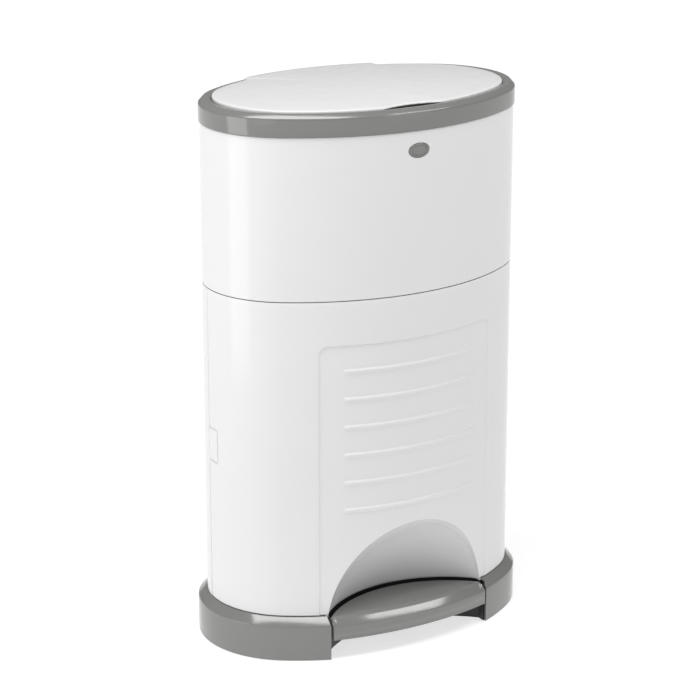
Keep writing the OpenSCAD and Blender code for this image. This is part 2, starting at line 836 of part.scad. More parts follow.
module lid_ring() {
    out = ring_out;
    color(grey) {
        difference() {
            oval_stack(body, [
                [out, shell_top], [out, ring_top - 10], [out - 0.5, ring_top - 7], [out - 2, ring_top - 4],
                [out - 4.4, ring_top - 1.9], [out - 7.6, ring_top - 0.6], [out - 10.5, ring_top]]);
            difference() {
                oval_block(body, shell_top - 1, web_low, inner - 0.2);
                // Walls of the trough under the lid's hinge part
                span([-tail_w / 2 - 1 - trough_t, lid_axis_y - tail_sweep - trough_t, trough_z - trough_t],
                    [tail_w / 2 + 1 + trough_t, far, web_low + 1]);
            }
            oval_block(lid_oval, shell_top, ring_top + 9, -opening_in);
            oval_block(lid_oval, web_top, ring_top + 9, lid_gap);
            // Room for the lid's hinge part and for the lift rod
            span([-tail_w / 2 - 1, lid_axis_y - tail_sweep, trough_z], [tail_w / 2 + 1, far, far * 2]);
            span([-tail_w / 2 - 1, oval_y(lid_oval, lid_gap, tail_w / 2 + 1), web_top],
                [tail_w / 2 + 1, far, far * 2]);
            translate([0, rod_y, shell_top]) cylinder(h = far, r = rod_d / 2 + 0.5);
            // Finger room under the lid's notch
            intersection() {
                oval_block(lid_oval, web_low - 1, web_top + 1, lid_gap);
                span([-finger_w / 2, -far, web_low - 2], [finger_w / 2, finger_y, web_top + 2]);
            }
            ring_screw_places() translate([0, 0, -1]) cylinder(h = 3.5, r = ring_screw_r);
        }
        lid_lugs();
    }
}

// Lugs on the ring that hold the lid's hinge pin
module lid_lugs() {
    mirrored_x() for (s = lug_spans)
        difference() {
            union() {
                rod_x(s[0], s[1], lid_axis_y, lid_axis_z, lug_r);
                span([s[0], lid_axis_y - lug_r, trough_z - 0.5], [s[1], lid_axis_y - 0.5, lid_axis_z - 1]);
            }
            rod_x(-far, far, lid_axis_y, lid_axis_z, lid_pin_d / 2 + pin_fit);
        }
}

module lid_seal() {
    color(rubber) oval_wall(lid_oval, web_top, web_top + 0.8, -opening_in + 4, -opening_in + 1.5);
}

module lid_hinge_pin() {
    half = lug_spans[1][1];
    color(steel) rod_x(-half, half, lid_axis_y, lid_axis_z, lid_pin_d / 2);
}

module square_ring(half_x, half_y, z) {
    translate([0, 0, z]) linear_extrude(0.01) square([2 * half_x, 2 * half_y], center = true);
}

module chute() {
    top = web_low;
    t = chute_t;
    color(mid_grey) difference() {
        union() {
            oval_block(lid_oval, top - flange_t, top, -flange_in);
            oval_block(lid_oval, top - 8, top, t - mouth_in);
            hull() {
                oval_block(lid_oval, top - 8, top - 7.9, t - mouth_in);
                square_ring(throat_x + t, throat_y + t, funnel_low);
            }
            span([-throat_x - t, -throat_y - t, upper_low + 3], [throat_x + t, throat_y + t, funnel_low]);
        }
        oval_block(lid_oval, top - 8, top + 1, -mouth_in);
        hull() {
            oval_block(lid_oval, top - 8, top - 7.9, -mouth_in);
            square_ring(throat_x, throat_y, funnel_low);
        }
        span([-throat_x, -throat_y, upper_low], [throat_x, throat_y, funnel_low + 0.01]);
        mirrored_x() rod_y_way(-far, far, shutter_x, shutter_z, shaft_d / 2 + pin_fit);
        span([-tail_w / 2 - 1 - trough_t - 1, lid_axis_y - tail_sweep - trough_t - catch_gap, top - 9],
            [tail_w / 2 + 1 + trough_t + 1, far, top + 1]);
        span([-finger_w / 2 - 1, -far, top - flange_t - 1], [finger_w / 2 + 1, finger_y - catch_gap, top + 1]);
        ring_screw_places() translate([0, 0, -flange_t - 1]) cylinder(h = flange_t + 2, r = ring_screw_r + 0.5);
    }
}

module ring_screw_places() {
    for (x = [-1, 1], y = [-1, 1])
        translate([x * screw_x, y * oval_y(lid_oval, -ring_screw_in, screw_x), web_low]) children();
}

module ring_screws() {
    color(steel) ring_screw_places() {
        translate([0, 0, -flange_t - 2]) cylinder(h = 2, r = 3.2);
        translate([0, 0, -flange_t - 0.5]) cylinder(h = flange_t + 3, r = ring_screw_r);
    }
}

// Lid

module lid() {
    low = lid_z - lid_t;
    tail = tail_w / 2;
    crown_steps = 5;
    notch_r = (pow(notch_w / 2, 2) + pow(notch_depth, 2)) / (2 * notch_depth);
    color(white) difference() {
        union() {
            oval_stack(lid_oval, concat(
                [[-0.8, low], [0, low + 0.8], [0, lid_z - 1.2], [-0.6, lid_z - 0.3], [-2, lid_z]],
                [for (i = [1 : crown_steps]) let (s = i / crown_steps)
                    [-2 - s * (lid_r - 16), lid_z + lid_crown * (1 - pow(1 - s, 2))]]));
            // Hinge part that reaches the back edge
            intersection() {
                span([-tail, lid_axis_y - tail_sweep - 14, low], [tail, far, lid_z]);
                oval_stack(body, [[ring_out - 1.5, low - 1], [ring_out - 1.5, lid_z - 2],
                    [ring_out - 2.5, lid_z - 0.6], [ring_out - 4, lid_z]]);
            }
            mirrored_x() rod_x(lug_spans[0][1] + 0.4, lug_spans[1][0] - 0.4, lid_axis_y, lid_axis_z, barrel_r);
        }
        // Room for the ring's lugs, the pin and the lift rod's tip
        mirrored_x() for (s = lug_spans)
            rod_x(s[0] - 0.4, s[1] + 0.4, lid_axis_y, lid_axis_z, lug_r + 0.5);
        rod_x(-tail - 1, tail + 1, lid_axis_y, lid_axis_z, lid_pin_d / 2 + pin_fit);
        span([-lug_spans[0][0] + 0.4, lid_axis_y - 12, low - 1], [lug_spans[0][0] - 0.4, lid_axis_y + 3, lid_axis_z + touch_gap]);
        // Finger notch
        translate([0, -lid_d / 2 + notch_depth - notch_r, low - 1]) cylinder(h = lid_t + 5, r = notch_r, $fn = 128);
    }
}

module lid_liner() {
    low = lid_z - lid_t;
    color(mid_grey) difference() {
        oval_block(lid_oval, low - 8, low, -liner_in);
        oval_block(lid_oval, low - 9, low - 2, -liner_in - 2.5);
    }
}

// Upper rod, crosshead and shutters

module upper_lift_rod() {
    top = lid_axis_z;
    low = split_z + touch_gap / 2;
    color(steel) {
        translate([0, rod_y, low]) cylinder(h = top - low - rod_d / 2, r = rod_d / 2);
        translate([0, rod_y, top - rod_d / 2]) sphere(r = rod_d / 2);
    }
}

module rod_bracket() {
    color(mid_grey) for (z = bracket_places)
        difference() {
            intersection() {
                span([-10, rod_y - 6, z], [10, far, z + bracket_h]);
                oval_block(body, z - 1, z + bracket_h + 1, inner);
            }
            translate([0, rod_y, z - 1]) cylinder(h = bracket_h + 2, r = rod_d / 2 + pin_fit);
        }
}

module shutter_crosshead() {
    half = crank_pin_x + 8;
    low = crank_pin_z - bar_h / 2;
    slot = crank_pin_d / 2 + touch_gap;
    color(dark) difference() {
        union() {
            span([-half, bar_y, low], [half, bar_y + bar_t, low + bar_h]);
            span([-8, bar_y + bar_t - 1, low], [8, rod_y + 5, low + bar_h]);
        }
        translate([0, rod_y, low - 1]) cylinder(h = bar_h + 2, r = rod_d / 2);
        mirrored_x() span([crank_pin_x - 3, bar_y - 1, crank_pin_z - slot],
            [shutter_x + crank + 3, bar_y + bar_t + 1, crank_pin_z + slot]);
    }
}

// Shaft with its crank and crank pin, drawn for the right-hand shutter
module shutter_shaft() {
    color(steel) {
        rod_y_way(-throat_y - chute_t - 2, crank_y, shutter_x, shutter_z, shaft_d / 2);
        rod_y_way(crank_y, crank_y + crank_t, shutter_x, shutter_z, shaft_d / 2 + 1.5);
        translate([shutter_x, crank_y, shutter_z]) rotate([0, shutter_angle / 2, 0])
            span([0, 0, -2], [crank, crank_t, 2]);
        rod_y_way(crank_y, bar_y + bar_t, crank_pin_x, crank_pin_z, crank_pin_d / 2);
    }
}

// Flap from its barrel to the rubber edge
module shutter_flap() {
    half_y = throat_y - 1.5;
    color(mid_grey) difference() {
        union() {
            rod_y_way(-half_y, half_y, shutter_x, shutter_z, shaft_d / 2 + 2);
            span([seal_w, -half_y, shutter_z - flap_t / 2], [shutter_x, half_y, shutter_z + flap_t / 2]);
        }
        rod_y_way(-far, far, shutter_x, shutter_z, shaft_d / 2);
    }
}

module shutter_seal() {
    half_y = throat_y - 1.5;
    color(rubber) span([0.5, -half_y, shutter_z - flap_t / 2], [seal_w, half_y, shutter_z + flap_t / 2]);
}

module shutter_shaft_right() { shutter_shaft(); }
module shutter_shaft_left() { mirror([1, 0, 0]) shutter_shaft(); }
module shutter_flap_right() { shutter_flap(); }
module shutter_flap_left() { mirror([1, 0, 0]) shutter_flap(); }
module shutter_seal_right() { shutter_seal(); }
module shutter_seal_left() { mirror([1, 0, 0]) shutter_seal(); }

// Release button and lever

module release_button() {
    face = -body_d / 2;
    back = release_y - release_t / 2 - 0.4;
    flange = -oval_y(body, inner, button_w / 2 + 2.5) + 0.3;
    steps = 5;
    color(grey) {
        translate([0, face, button_z]) rotate([90, 0, 0]) stacked(concat(
            [at_z(ellipse_points(button_w / 2, button_h / 2), -wall - 1)],
            [for (i = [0 : steps]) let (a = 70 * i / steps)
                at_z(ellipse_points(button_w / 2 - 3 * (1 - cos(a)), button_h / 2 - 3 * (1 - cos(a))), 1.5 * sin(a) - 0.4)]));
        button_way(flange, flange + 2, 2.5);
        translate([0, back, button_z]) rotate([90, 0, 0]) cylinder(h = back - flange - 1, r = 4);
    }
}

module release_lever() {
    color(dark) difference() {
        union() {
            span([-release_w / 2, release_y - release_t / 2, release_low], [release_w / 2, release_y + release_t / 2, button_z + 8]);
            rod_x(-release_w / 2, release_w / 2, release_y, release_z, release_r);
            // Hook under the deck's catch
            span([-release_w / 2, release_y, release_low], [release_w / 2, release_y + hook_reach, release_low + 4]);
        }
        rod_x(-release_w, release_w, release_y, release_z, 2 + pin_fit);
    }
}

module release_pivot_pin() {
    half = release_w / 2 + 4.5;
    color(steel) rod_x(-half, half + 6.5, release_y, release_z, 2);
}

module release_spring() {
    x0 = release_w / 2 + 5;
    color(steel) difference() {
        union() {
            rod_x(x0, x0 + 5, release_y, release_z, 3.4);
            span([x0 + 1, -oval_y(body, inner, x0 + 2.6) + 0.05, release_z + 1.6],
                [x0 + 2.6, release_y, release_z + 3.2]);
        }
        rod_x(x0 - 1, x0 + 6, release_y, release_z, 2 + pin_fit);
    }
}

base_plinth();
floor_tray();
rubber_feet();
pedal_well();
pedal_pivot_pin();
pedal_spring();
base_screws();
pedal();
pedal_lever();
lower_lift_rod();
rod_guides();
rod_cover();
rear_shell();
front_door();
door_hinge_pins();
door_latch();
latch_housing();
latch_spring();
latch_strike();
cassette_deck();
cassette_body();
liner_film();
cassette_cap();
cutter_housing();
cutter_blade();
tilt_hinge_pins();
upper_shell();
lid_ring();
lid_seal();
chute();
ring_screws();
lid_hinge_pin();
lid();
lid_liner();
upper_lift_rod();
shutter_crosshead();
rod_bracket();
shutter_shaft_left();
shutter_flap_left();
shutter_seal_left();
shutter_shaft_right();
shutter_flap_right();
shutter_seal_right();
release_button();
release_lever();
release_pivot_pin();
release_spring();
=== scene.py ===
"""Looks of an oval pedal nappy bin: smooth shells, their finishes, the studio and the camera.

Lengths are in millimetres until a mesh is made. The front faces -Y and the floor is at z 0.
"""
import json
import math

import bmesh
import bpy
import numpy as np
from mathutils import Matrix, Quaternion, Vector


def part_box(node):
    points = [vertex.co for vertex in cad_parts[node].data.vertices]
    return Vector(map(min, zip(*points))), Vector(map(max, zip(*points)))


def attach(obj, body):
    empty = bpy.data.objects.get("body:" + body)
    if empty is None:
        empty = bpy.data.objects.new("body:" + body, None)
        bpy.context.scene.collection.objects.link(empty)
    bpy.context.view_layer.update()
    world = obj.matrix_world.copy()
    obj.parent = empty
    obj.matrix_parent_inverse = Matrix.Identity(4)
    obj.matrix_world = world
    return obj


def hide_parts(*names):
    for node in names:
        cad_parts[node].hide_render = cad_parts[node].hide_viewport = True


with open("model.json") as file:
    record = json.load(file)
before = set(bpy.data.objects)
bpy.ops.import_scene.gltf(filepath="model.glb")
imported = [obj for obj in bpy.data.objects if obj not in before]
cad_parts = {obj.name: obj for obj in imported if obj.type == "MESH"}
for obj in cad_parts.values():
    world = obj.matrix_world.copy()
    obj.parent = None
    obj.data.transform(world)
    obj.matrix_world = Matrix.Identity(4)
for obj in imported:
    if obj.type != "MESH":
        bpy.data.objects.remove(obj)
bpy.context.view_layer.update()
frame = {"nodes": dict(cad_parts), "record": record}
nodes = frame["nodes"]
MM = 0.001


def corners(node):
    """Lowest and highest corner of a node of the frame, in millimetres."""
    low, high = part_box(node)
    return np.array(low) / MM, np.array(high) / MM


# Sizes that the frame gives
base_low, base_high = corners("base_plinth")
pedal_low, pedal_high = corners("pedal")

# Sizes of the moulded shells, as the part's source has them
BODY_W, BODY_D, BODY_END_R = 341.0, 226.0, 87.0
LID_W, LID_D, LID_END_R = 313.5, 208.0, 82.5
WALL = 3.0
BASE_OUT = base_high[0] - BODY_W / 2
BASE_TOP = base_high[2]
SHOULDER_Z = BASE_TOP - 7.6
BAY_HALF = 95.0
SPLIT_Z = 378.4
SEAM_Y = 14.0
SEAM = 0.6
DOME_R, DOME_Y, DOME_Z = 129.0, -180.5, 27.0
DOME_WALL = 2.5
PANEL_HALF, PANEL_TOP, PANEL_R, PANEL_DEPTH = 101.0, 333.0, 11.0, 1.0
RIB_HALF, RIB_LOW, RIB_STEP, RIB_COUNT, RIB_H = 77.5, 158.6, 29.4, 6, 3.4
RIB_OUT = 1.2
HINGE_X, HINGE_R, PIN_R = 171.4, 4.0, 1.65
TILT_Y = 114.0
STATIONS = (95.0, 300.0)
STATION_H = 24.0
TILT_SPAN = (44.0, 68.0)
KNUCKLE_GAP = 0.4
RING_OUT, RING_TOP, RING_LOW = 1.2, 566.2, 543.0
LID_Z, LID_T, LID_CROWN = 567.0, 5.5, 3.0
LID_GAP = 0.9
WEB_TOP = LID_Z - LID_T - 1
WEB_LOW = WEB_TOP - 3.5
OPENING_IN = 14.0
TAIL_HALF = 77.0
NOTCH_W, NOTCH_DEPTH = 74.0, 8.0
LID_AXIS = (105.0, 562.0)
TAIL_SWEEP = 9.4
BUTTON_Z, BUTTON_A, BUTTON_B = 523.4, 11.75, 7.0
BUTTON_GAP = 0.5
THROAT_X, THROAT_Y, CHUTE_T, FUNNEL_LOW = 76.0, 64.0, 2.5, 474.0
TAB_FRONT, TAB_LINE = 5.4, 0.4
TAB_Z = (197.0, 231.8)
POSTS = (120.0, 60.0)
CROSS_LUGS = (443.0, 452.0)
SKIN = WALL - 0.2
EDGE_R = 0.8


class Oval:
    """Outline of two end arcs and two side arcs that meet smoothly.

    A point is named by the direction of its outward normal, which picks the arc: the ends lie within the
    angle meet of +X and -X, and the sides between them.
    """

    def __init__(self, width, depth, end_r):
        self.end_r = end_r
        self.end_x = width / 2 - end_r
        half = depth / 2 - end_r
        self.side_y = (self.end_x ** 2 - half ** 2) / (2 * half)
        self.side_r = end_r + math.hypot(self.end_x, self.side_y)
        self.meet = math.atan2(self.side_y, self.end_x)

    def at(self, way, grow=0.0):
        """X and Y at the normal directions way, moved outwards by grow: arc centre plus radius times normal."""
        way, grow = np.broadcast_arrays(np.asarray(way, float), np.asarray(grow, float))
        c, s = np.cos(way), np.sin(way)
        end = np.abs(c) >= math.cos(self.meet)
        radius = np.where(end, self.end_r, self.side_r) + grow
        x = np.where(end, np.sign(c) * self.end_x, 0.0) + radius * c
        y = np.where(end, 0.0, -np.sign(s) * self.side_y) + radius * s
        return x, y

    def y_at(self, x, grow=0.0):
        """Depth of the side arc at x: the circle's height less its centre's offset."""
        return np.sqrt((self.side_r + grow) ** 2 - np.asarray(x, float) ** 2) - self.side_y

    def way_at_x(self, x, grow=0.0):
        """Normal direction, from 0 to half a turn, of the back side arc at x."""
        return np.arccos(np.asarray(x, float) / (self.side_r + grow))

    def way_at_y(self, y, grow=0.0):
        """Normal direction of the right end arc at y."""
        return np.arcsin(np.asarray(y, float) / (self.end_r + grow))

    def spread(self, start, end, count, grow=0.0):
        """count normal directions from start to end, at even steps of the outline's length."""
        fine = np.linspace(start, end, 4001)
        x, y = self.at(fine, grow)
        run = np.concatenate([[0], np.cumsum(np.hypot(np.diff(x), np.diff(y)))])
        return np.interp(np.linspace(0, run[-1], count), run, fine)


BODY = Oval(BODY_W, BODY_D, BODY_END_R)
LID = Oval(LID_W, LID_D, LID_END_R)


# Mesh helpers


def grid_faces(rows, cols, close_rows=False, close_cols=False, start=0):
    """Quads of a grid whose vertex (i, j) has number start + i * cols + j."""
    i = np.arange(rows if close_rows else rows - 1)[:, None]
    j = np.arange(cols if close_cols else cols - 1)[None, :]
    i2, j2 = (i + 1) % rows, (j + 1) % cols
    quads = np.stack(np.broadcast_arrays(i * cols + j, i * cols + j2, i2 * cols + j2, i2 * cols + j), -1)
    return quads.reshape(-1, 4) + start


def make_mesh(name, points, faces, sharp=40.0, merge=True, outwards=True):
    """Object from points in millimetres and faces, with smooth faces and sharp edges past an angle."""
    data = bpy.data.meshes.new(name)
    data.from_pydata((np.asarray(points, float) * MM).tolist(), [], [list(map(int, f)) for f in faces])
    if merge:
        tidy(data, outwards)
    data.shade_smooth()
    data.set_sharp_from_angle(angle=math.radians(sharp))
    obj = bpy.data.objects.new(name, data)
    bpy.context.scene.collection.objects.link(obj)
    return obj


def tidy(data, outwards):
    """Merges doubles, drops faces without area and turns a closed mesh's faces outwards."""
    work = bmesh.new()
    work.from_mesh(data)
    bmesh.ops.remove_doubles(work, verts=work.verts, dist=2e-6)
    bmesh.ops.dissolve_degenerate(work, dist=2e-6, edges=work.edges)
    if outwards:
        bmesh.ops.recalc_face_normals(work, faces=work.faces)
    work.to_mesh(data)
    work.free()


class Pile:
    """Points and faces of several sheets, gathered into one mesh."""

    def __init__(self):
        self.points, self.faces, self.count = [], [], 0

    def add(self, points, faces):
        points = np.asarray(points, float).reshape(-1, 3)
        self.points.append(points)
        self.faces.extend((np.asarray(f) + self.count).tolist() for f in faces)
        self.count += len(points)

    def grid(self, points, close_rows=False, close_cols=False, flip=False):
        rows, cols = points.shape[:2]
        faces = grid_faces(rows, cols, close_rows, close_cols)
        self.add(points, faces[:, ::-1] if flip else faces)

    def make(self, name, **options):
        return make_mesh(name, np.concatenate(self.points), self.faces, **options)


def bend_corners(corners_list, steps=4):
    """Polyline whose corners, given as (a, b, radius), are rounded by arcs; open at both ends."""
    pts = [np.array(c[:2], float) for c in corners_list]
    out = [pts[0]]
    for k in range(1, len(pts) - 1):
        radius = corners_list[k][2] if len(corners_list[k]) > 2 else 0.0
        back, ahead = pts[k - 1] - pts[k], pts[k + 1] - pts[k]
        lb, la = np.linalg.norm(back), np.linalg.norm(ahead)
        back, ahead = back / lb, ahead / la
        turn = math.acos(max(-1.0, min(1.0, float(back @ ahead))))
        if radius <= 0 or turn > math.pi - 0.02:
            out.append(pts[k])
            continue
        reach = min(radius / math.tan(turn / 2), 0.49 * lb, 0.49 * la)
        true_r = reach * math.tan(turn / 2)
        middle = (back + ahead) / np.linalg.norm(back + ahead)
        centre = pts[k] + middle * true_r / math.sin(turn / 2)
        first = pts[k] + back * reach - centre
        last = pts[k] + ahead * reach - centre
        span = math.acos(max(-1.0, min(1.0, float(first @ last) / true_r ** 2)))
        for t in np.linspace(0, 1, steps + 1):
            out.append(centre + (first * math.sin((1 - t) * span) + last * math.sin(t * span)) / math.sin(span))
    out.append(pts[-1])
    return np.array(out)


def closed_bend(corners_list, steps=4):
    """Closed polyline with rounded corners, as bend_corners, without its first point twice."""
    loop = [corners_list[-1]] + list(corners_list) + [corners_list[0]]
    return bend_corners(loop, steps)[1:-1]


def sweep_section(ways, section, z_of):
    """Grid of a section carried round ovals: row k follows section[k] = (oval, grow)."""
    rows = []
    for (oval, grow), z, way in zip(section, z_of, ways):
        x, y = oval.at(way, grow)
        rows.append(np.stack([x, y, np.full_like(x, z)], -1))
    return np.stack(rows)


def block(pile, low, high):
    """Adds a box from its lowest to its highest corner."""
    x, y, z = np.meshgrid(*[np.array([a, b]) for a, b in zip(low, high)], indexing="ij")
    points = np.stack([x, y, z], -1).reshape(-1, 3)
    pile.add(points, [(0, 1, 3, 2), (4, 6, 7, 5), (0, 4, 5, 1), (2, 3, 7, 6), (0, 2, 6, 4), (1, 5, 7, 3)])


def turned(pile, axis, centre, profile, count=40):
    """Adds a closed profile of (radius, place along the axis) turned round an axis X, Y or Z through centre."""
    angle = np.linspace(0, 2 * math.pi, count, endpoint=False)[None, :]
    profile = np.asarray(profile, float)
    a = profile[:, :1] * np.cos(angle)
    b = profile[:, :1] * np.sin(angle)
    along = profile[:, 1:] + 0 * angle
    order = {"X": (along, a, b), "Y": (b, along, a), "Z": (a, b, along)}[axis]
    points = np.stack(order, -1) + np.asarray(centre, float)
    pile.grid(points, close_rows=True, close_cols=True)


def knuckle_profile(r_in, r_out, low, high, edge=0.5):
    """Section of a hinge barrel with a bore and softly broken outer edges."""
    return closed_bend([(r_in, low, 0), (r_out, low, edge), (r_out, high, edge), (r_in, high, 0)], 3)


def edge_drop(distance, radius=EDGE_R):
    """How far a surface falls back at a distance from its rounded border: a quarter circle's drop."""
    t = np.clip(radius - distance, 0, radius)
    return radius - np.sqrt(radius ** 2 - t ** 2)


def smooth_step(t):
    """0 below 0, 1 above 1, and 3t2 - 2t3 between them."""
    t = np.clip(t, 0, 1)
    return t * t * (3 - 2 * t)


def give_wall(obj, thickness, offset=-1.0):
    """Gives a one-sided sheet its wall."""
    wall = obj.modifiers.new("wall", "SOLIDIFY")
    wall.thickness = thickness * MM
    wall.offset = offset
    wall.use_rim = True
    wall.use_quality_normals = True


# Finishes


def new_material(name):
    mat = bpy.data.materials.new(name)
    mat.use_nodes = True
    tree = mat.node_tree
    return mat, tree, tree.nodes["Principled BSDF"]


def noise(tree, scale, detail=3.0, rough=0.5):
    """Noise on Object coordinates; scale is in waves per metre."""
    coord = tree.nodes.new("ShaderNodeTexCoord")
    node = tree.nodes.new("ShaderNodeTexNoise")
    node.inputs["Scale"].default_value = scale
    node.inputs["Detail"].default_value = detail
    node.inputs["Roughness"].default_value = rough
    tree.links.new(coord.outputs["Object"], node.inputs["Vector"])
    return node


def ramp(tree, source, low, high):
    """Spreads a noise's middle range from value low to value high."""
    node = tree.nodes.new("ShaderNodeMapRange")
    node.inputs["From Min"].default_value = 0.3
    node.inputs["From Max"].default_value = 0.7
    node.inputs["To Min"].default_value = low
    node.inputs["To Max"].default_value = high
    tree.links.new(source.outputs["Fac"], node.inputs["Value"])
    return node


def blend_colours(tree, source, first, second):
    """Colour that wanders between two close tones."""
    node = tree.nodes.new("ShaderNodeMix")
    node.data_type = "RGBA"
    node.inputs["A"].default_value = (*first, 1)
    node.inputs["B"].default_value = (*second, 1)
    tree.links.new(source.outputs[0], node.inputs["Factor"])
    return node


def moulded(name, colour, rough=(0.2, 0.28), bump=0.02, grain=900.0, tone=0.02, shine=0.5):
    """Moulded plastic: faint cloudy tone, wandering gloss and a fine skin."""
    mat, tree, shader = new_material(name)
    cloud = noise(tree, 14.0, 2.0)
    tones = ramp(tree, cloud, 0.0, 1.0)
    darker = tuple(c * (1 - tone) for c in colour)
    tree.links.new(blend_colours(tree, tones, colour, darker).outputs["Result"], shader.inputs["Base Color"])
    tree.links.new(ramp(tree, noise(tree, 60.0, 3.0), *rough).outputs[0], shader.inputs["Roughness"])
    skin = tree.nodes.new("ShaderNodeBump")
    skin.inputs["Strength"].default_value = bump
    skin.inputs["Distance"].default_value = 0.00005
    tree.links.new(noise(tree, grain, 2.0).outputs["Fac"], skin.inputs["Height"])
    tree.links.new(skin.outputs["Normal"], shader.inputs["Normal"])
    shader.inputs["Specular IOR Level"].default_value = shine
    shader.inputs["IOR"].default_value = 1.49
    return mat


def drawn_steel(name, colour=(0.55, 0.56, 0.58)):
    """Drawn or ground steel: fine scratches in its gloss."""
    mat, tree, shader = new_material(name)
    shader.inputs["Metallic"].default_value = 1.0
    fine = noise(tree, 700.0, 4.0)
    tree.links.new(ramp(tree, fine, 0.22, 0.38).outputs[0], shader.inputs["Roughness"])
    tones = ramp(tree, noise(tree, 90.0), 0.0, 1.0)
    worn = tuple(c * 0.86 for c in colour)
    tree.links.new(blend_colours(tree, tones, colour, worn).outputs["Result"], shader.inputs["Base Color"])
    return mat


def soft_rubber(name, colour=(0.035, 0.035, 0.037)):
    """Matt rubber with a dusty grain."""
    mat, tree, shader = new_material(name)
    tones = ramp(tree, noise(tree, 120.0), 0.0, 1.0)
    dusty = tuple(c * 1.6 for c in colour)
    tree.links.new(blend_colours(tree, tones, colour, dusty).outputs["Result"], shader.inputs["Base Color"])
    tree.links.new(ramp(tree, noise(tree, 300.0), 0.62, 0.8).outputs[0], shader.inputs["Roughness"])
    return mat


def thin_film(name):
    """Folded film: pale blue, with a glossy crinkle."""
    mat, tree, shader = new_material(name)
    folds = noise(tree, 220.0, 4.0)
    tree.links.new(blend_colours(tree, ramp(tree, folds, 0, 1), (0.62, 0.74, 0.86), (0.76, 0.85, 0.93)).outputs[
        "Result"], shader.inputs["Base Color"])
    crinkle = tree.nodes.new("ShaderNodeBump")
    crinkle.inputs["Strength"].default_value = 0.6
    crinkle.inputs["Distance"].default_value = 0.001
    tree.links.new(folds.outputs["Fac"], crinkle.inputs["Height"])
    tree.links.new(crinkle.outputs["Normal"], shader.inputs["Normal"])
    tree.links.new(ramp(tree, noise(tree, 80.0), 0.25, 0.4).outputs[0], shader.inputs["Roughness"])
    return mat


WHITE = moulded("glossy_white_shell", (0.765, 0.765, 0.765), rough=(0.12, 0.16), bump=0.01, tone=0.01, shine=0.3)
LID_WHITE = moulded("glossy_white_lid", (0.80, 0.80, 0.80), rough=(0.2, 0.26), bump=0.0, tone=0.01)
GREY = moulded("glossy_mid_grey", (0.2, 0.199, 0.192), rough=(0.1, 0.14), bump=0.01, tone=0.02, shine=0.65)
LIGHT = moulded("plain_light_grey", (0.55, 0.56, 0.57), rough=(0.38, 0.5), bump=0.05, tone=0.03)
DARK = moulded("plain_black", (0.012, 0.012, 0.013), rough=(0.4, 0.55), bump=0.05, tone=0.2)
STEEL = drawn_steel("drawn_steel")
RUBBER = soft_rubber("matt_rubber")
FILM = thin_film("folded_film")
SLOT_FINISH = {"white_gloss": WHITE, "grey_gloss": GREY, "light_plastic": LIGHT, "dark_plastic": DARK,
               "film": FILM, "rubber": RUBBER, "steel": STEEL}


def finish_piece(obj, material, slot, *replaced, body):
    """Gives a new piece its finish and its body, and hides the nodes that it stands for; slot is not used."""
    obj.data.materials.clear()
    obj.data.materials.append(material)
    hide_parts(*replaced)
    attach(obj, body)
    return obj


def finish_nodes():
    """Gives every node of the frame the finish of its slot."""
    for part in frame["record"]["subparts"]:
        obj = nodes[part["node"]]
        obj.data.materials.clear()
        obj.data.materials.append(SLOT_FINISH[part["material_slot"]])


# Plinth


def plinth():
    """Shoulder and skirt carried round the oval from one side of the pedal bay to the other, with a floor."""
    pile = Pile()
    low, floor_top = base_low[2], base_low[2] + 3.0
    loop = closed_bend([
        (BASE_OUT, low, 0.7), (BASE_OUT, SHOULDER_Z - 0.4, 1.6), (1.3, BASE_TOP, 0.5), (-6.0, BASE_TOP, 0),
        (-6.0, SHOULDER_Z - 2, 0), (BASE_OUT - WALL, SHOULDER_Z - 2, 0), (BASE_OUT - WALL, floor_top, 0),
        (BASE_OUT - WALL, low, 0)], 5)
    starts = [-BODY.way_at_x(BAY_HALF, grow) for grow in loop[:, 0]]
    ways = [BODY.spread(start, math.pi - start, 361) for start in starts]
    wall = sweep_section(ways, [(BODY, g) for g in loop[:, 0]], loop[:, 1])
    pile.grid(wall, close_rows=True)
    count = len(loop)
    pile.add(wall[:, 0], [range(count)])
    pile.add(wall[:, -1], [range(count)])
    plinth_floor(pile, low, floor_top)
    posts_and_brackets(pile, floor_top)
    return finish_piece(pile.make("plinth"), GREY, "grey_gloss", "base_plinth", body="base_unit")


def plinth_floor(pile, low, high):
    """Floor plate: strips along X between the front or the bay's back arc and the rear outline."""
    grow = BASE_OUT - WALL
    back_r = DOME_R + 1.5
    edge_x = BODY.end_x + BODY.end_r + grow - 0.05
    for x0, x1, bay in ((-BAY_HALF, BAY_HALF, True), (BAY_HALF, edge_x, False), (-edge_x, -BAY_HALF, False)):
        turn = np.linspace(0, math.pi, 61)
        x = (x0 + x1) / 2 - (x1 - x0) / 2 * np.cos(turn)
        side = np.abs(x) < (BODY.side_r + grow) * math.cos(BODY.meet)
        end_y = np.sqrt(np.maximum((BODY.end_r + grow) ** 2 - (np.abs(x) - BODY.end_x) ** 2, 0))
        rear = np.where(side, BODY.y_at(np.clip(x, -200, 200), grow), end_y)
        front = DOME_Y + np.sqrt(np.maximum(back_r ** 2 - x ** 2, 0)) if bay else -rear
        ring = [np.stack([x, front, 0 * x + low], -1), np.stack([x, rear, 0 * x + low], -1),
                np.stack([x, rear, 0 * x + high], -1), np.stack([x, front, 0 * x + high], -1)]
        sheet = np.stack(ring)
        pile.grid(sheet, close_rows=True)
        pile.add(sheet[:, 0], [range(4)])
        pile.add(sheet[:, -1], [range(4)])


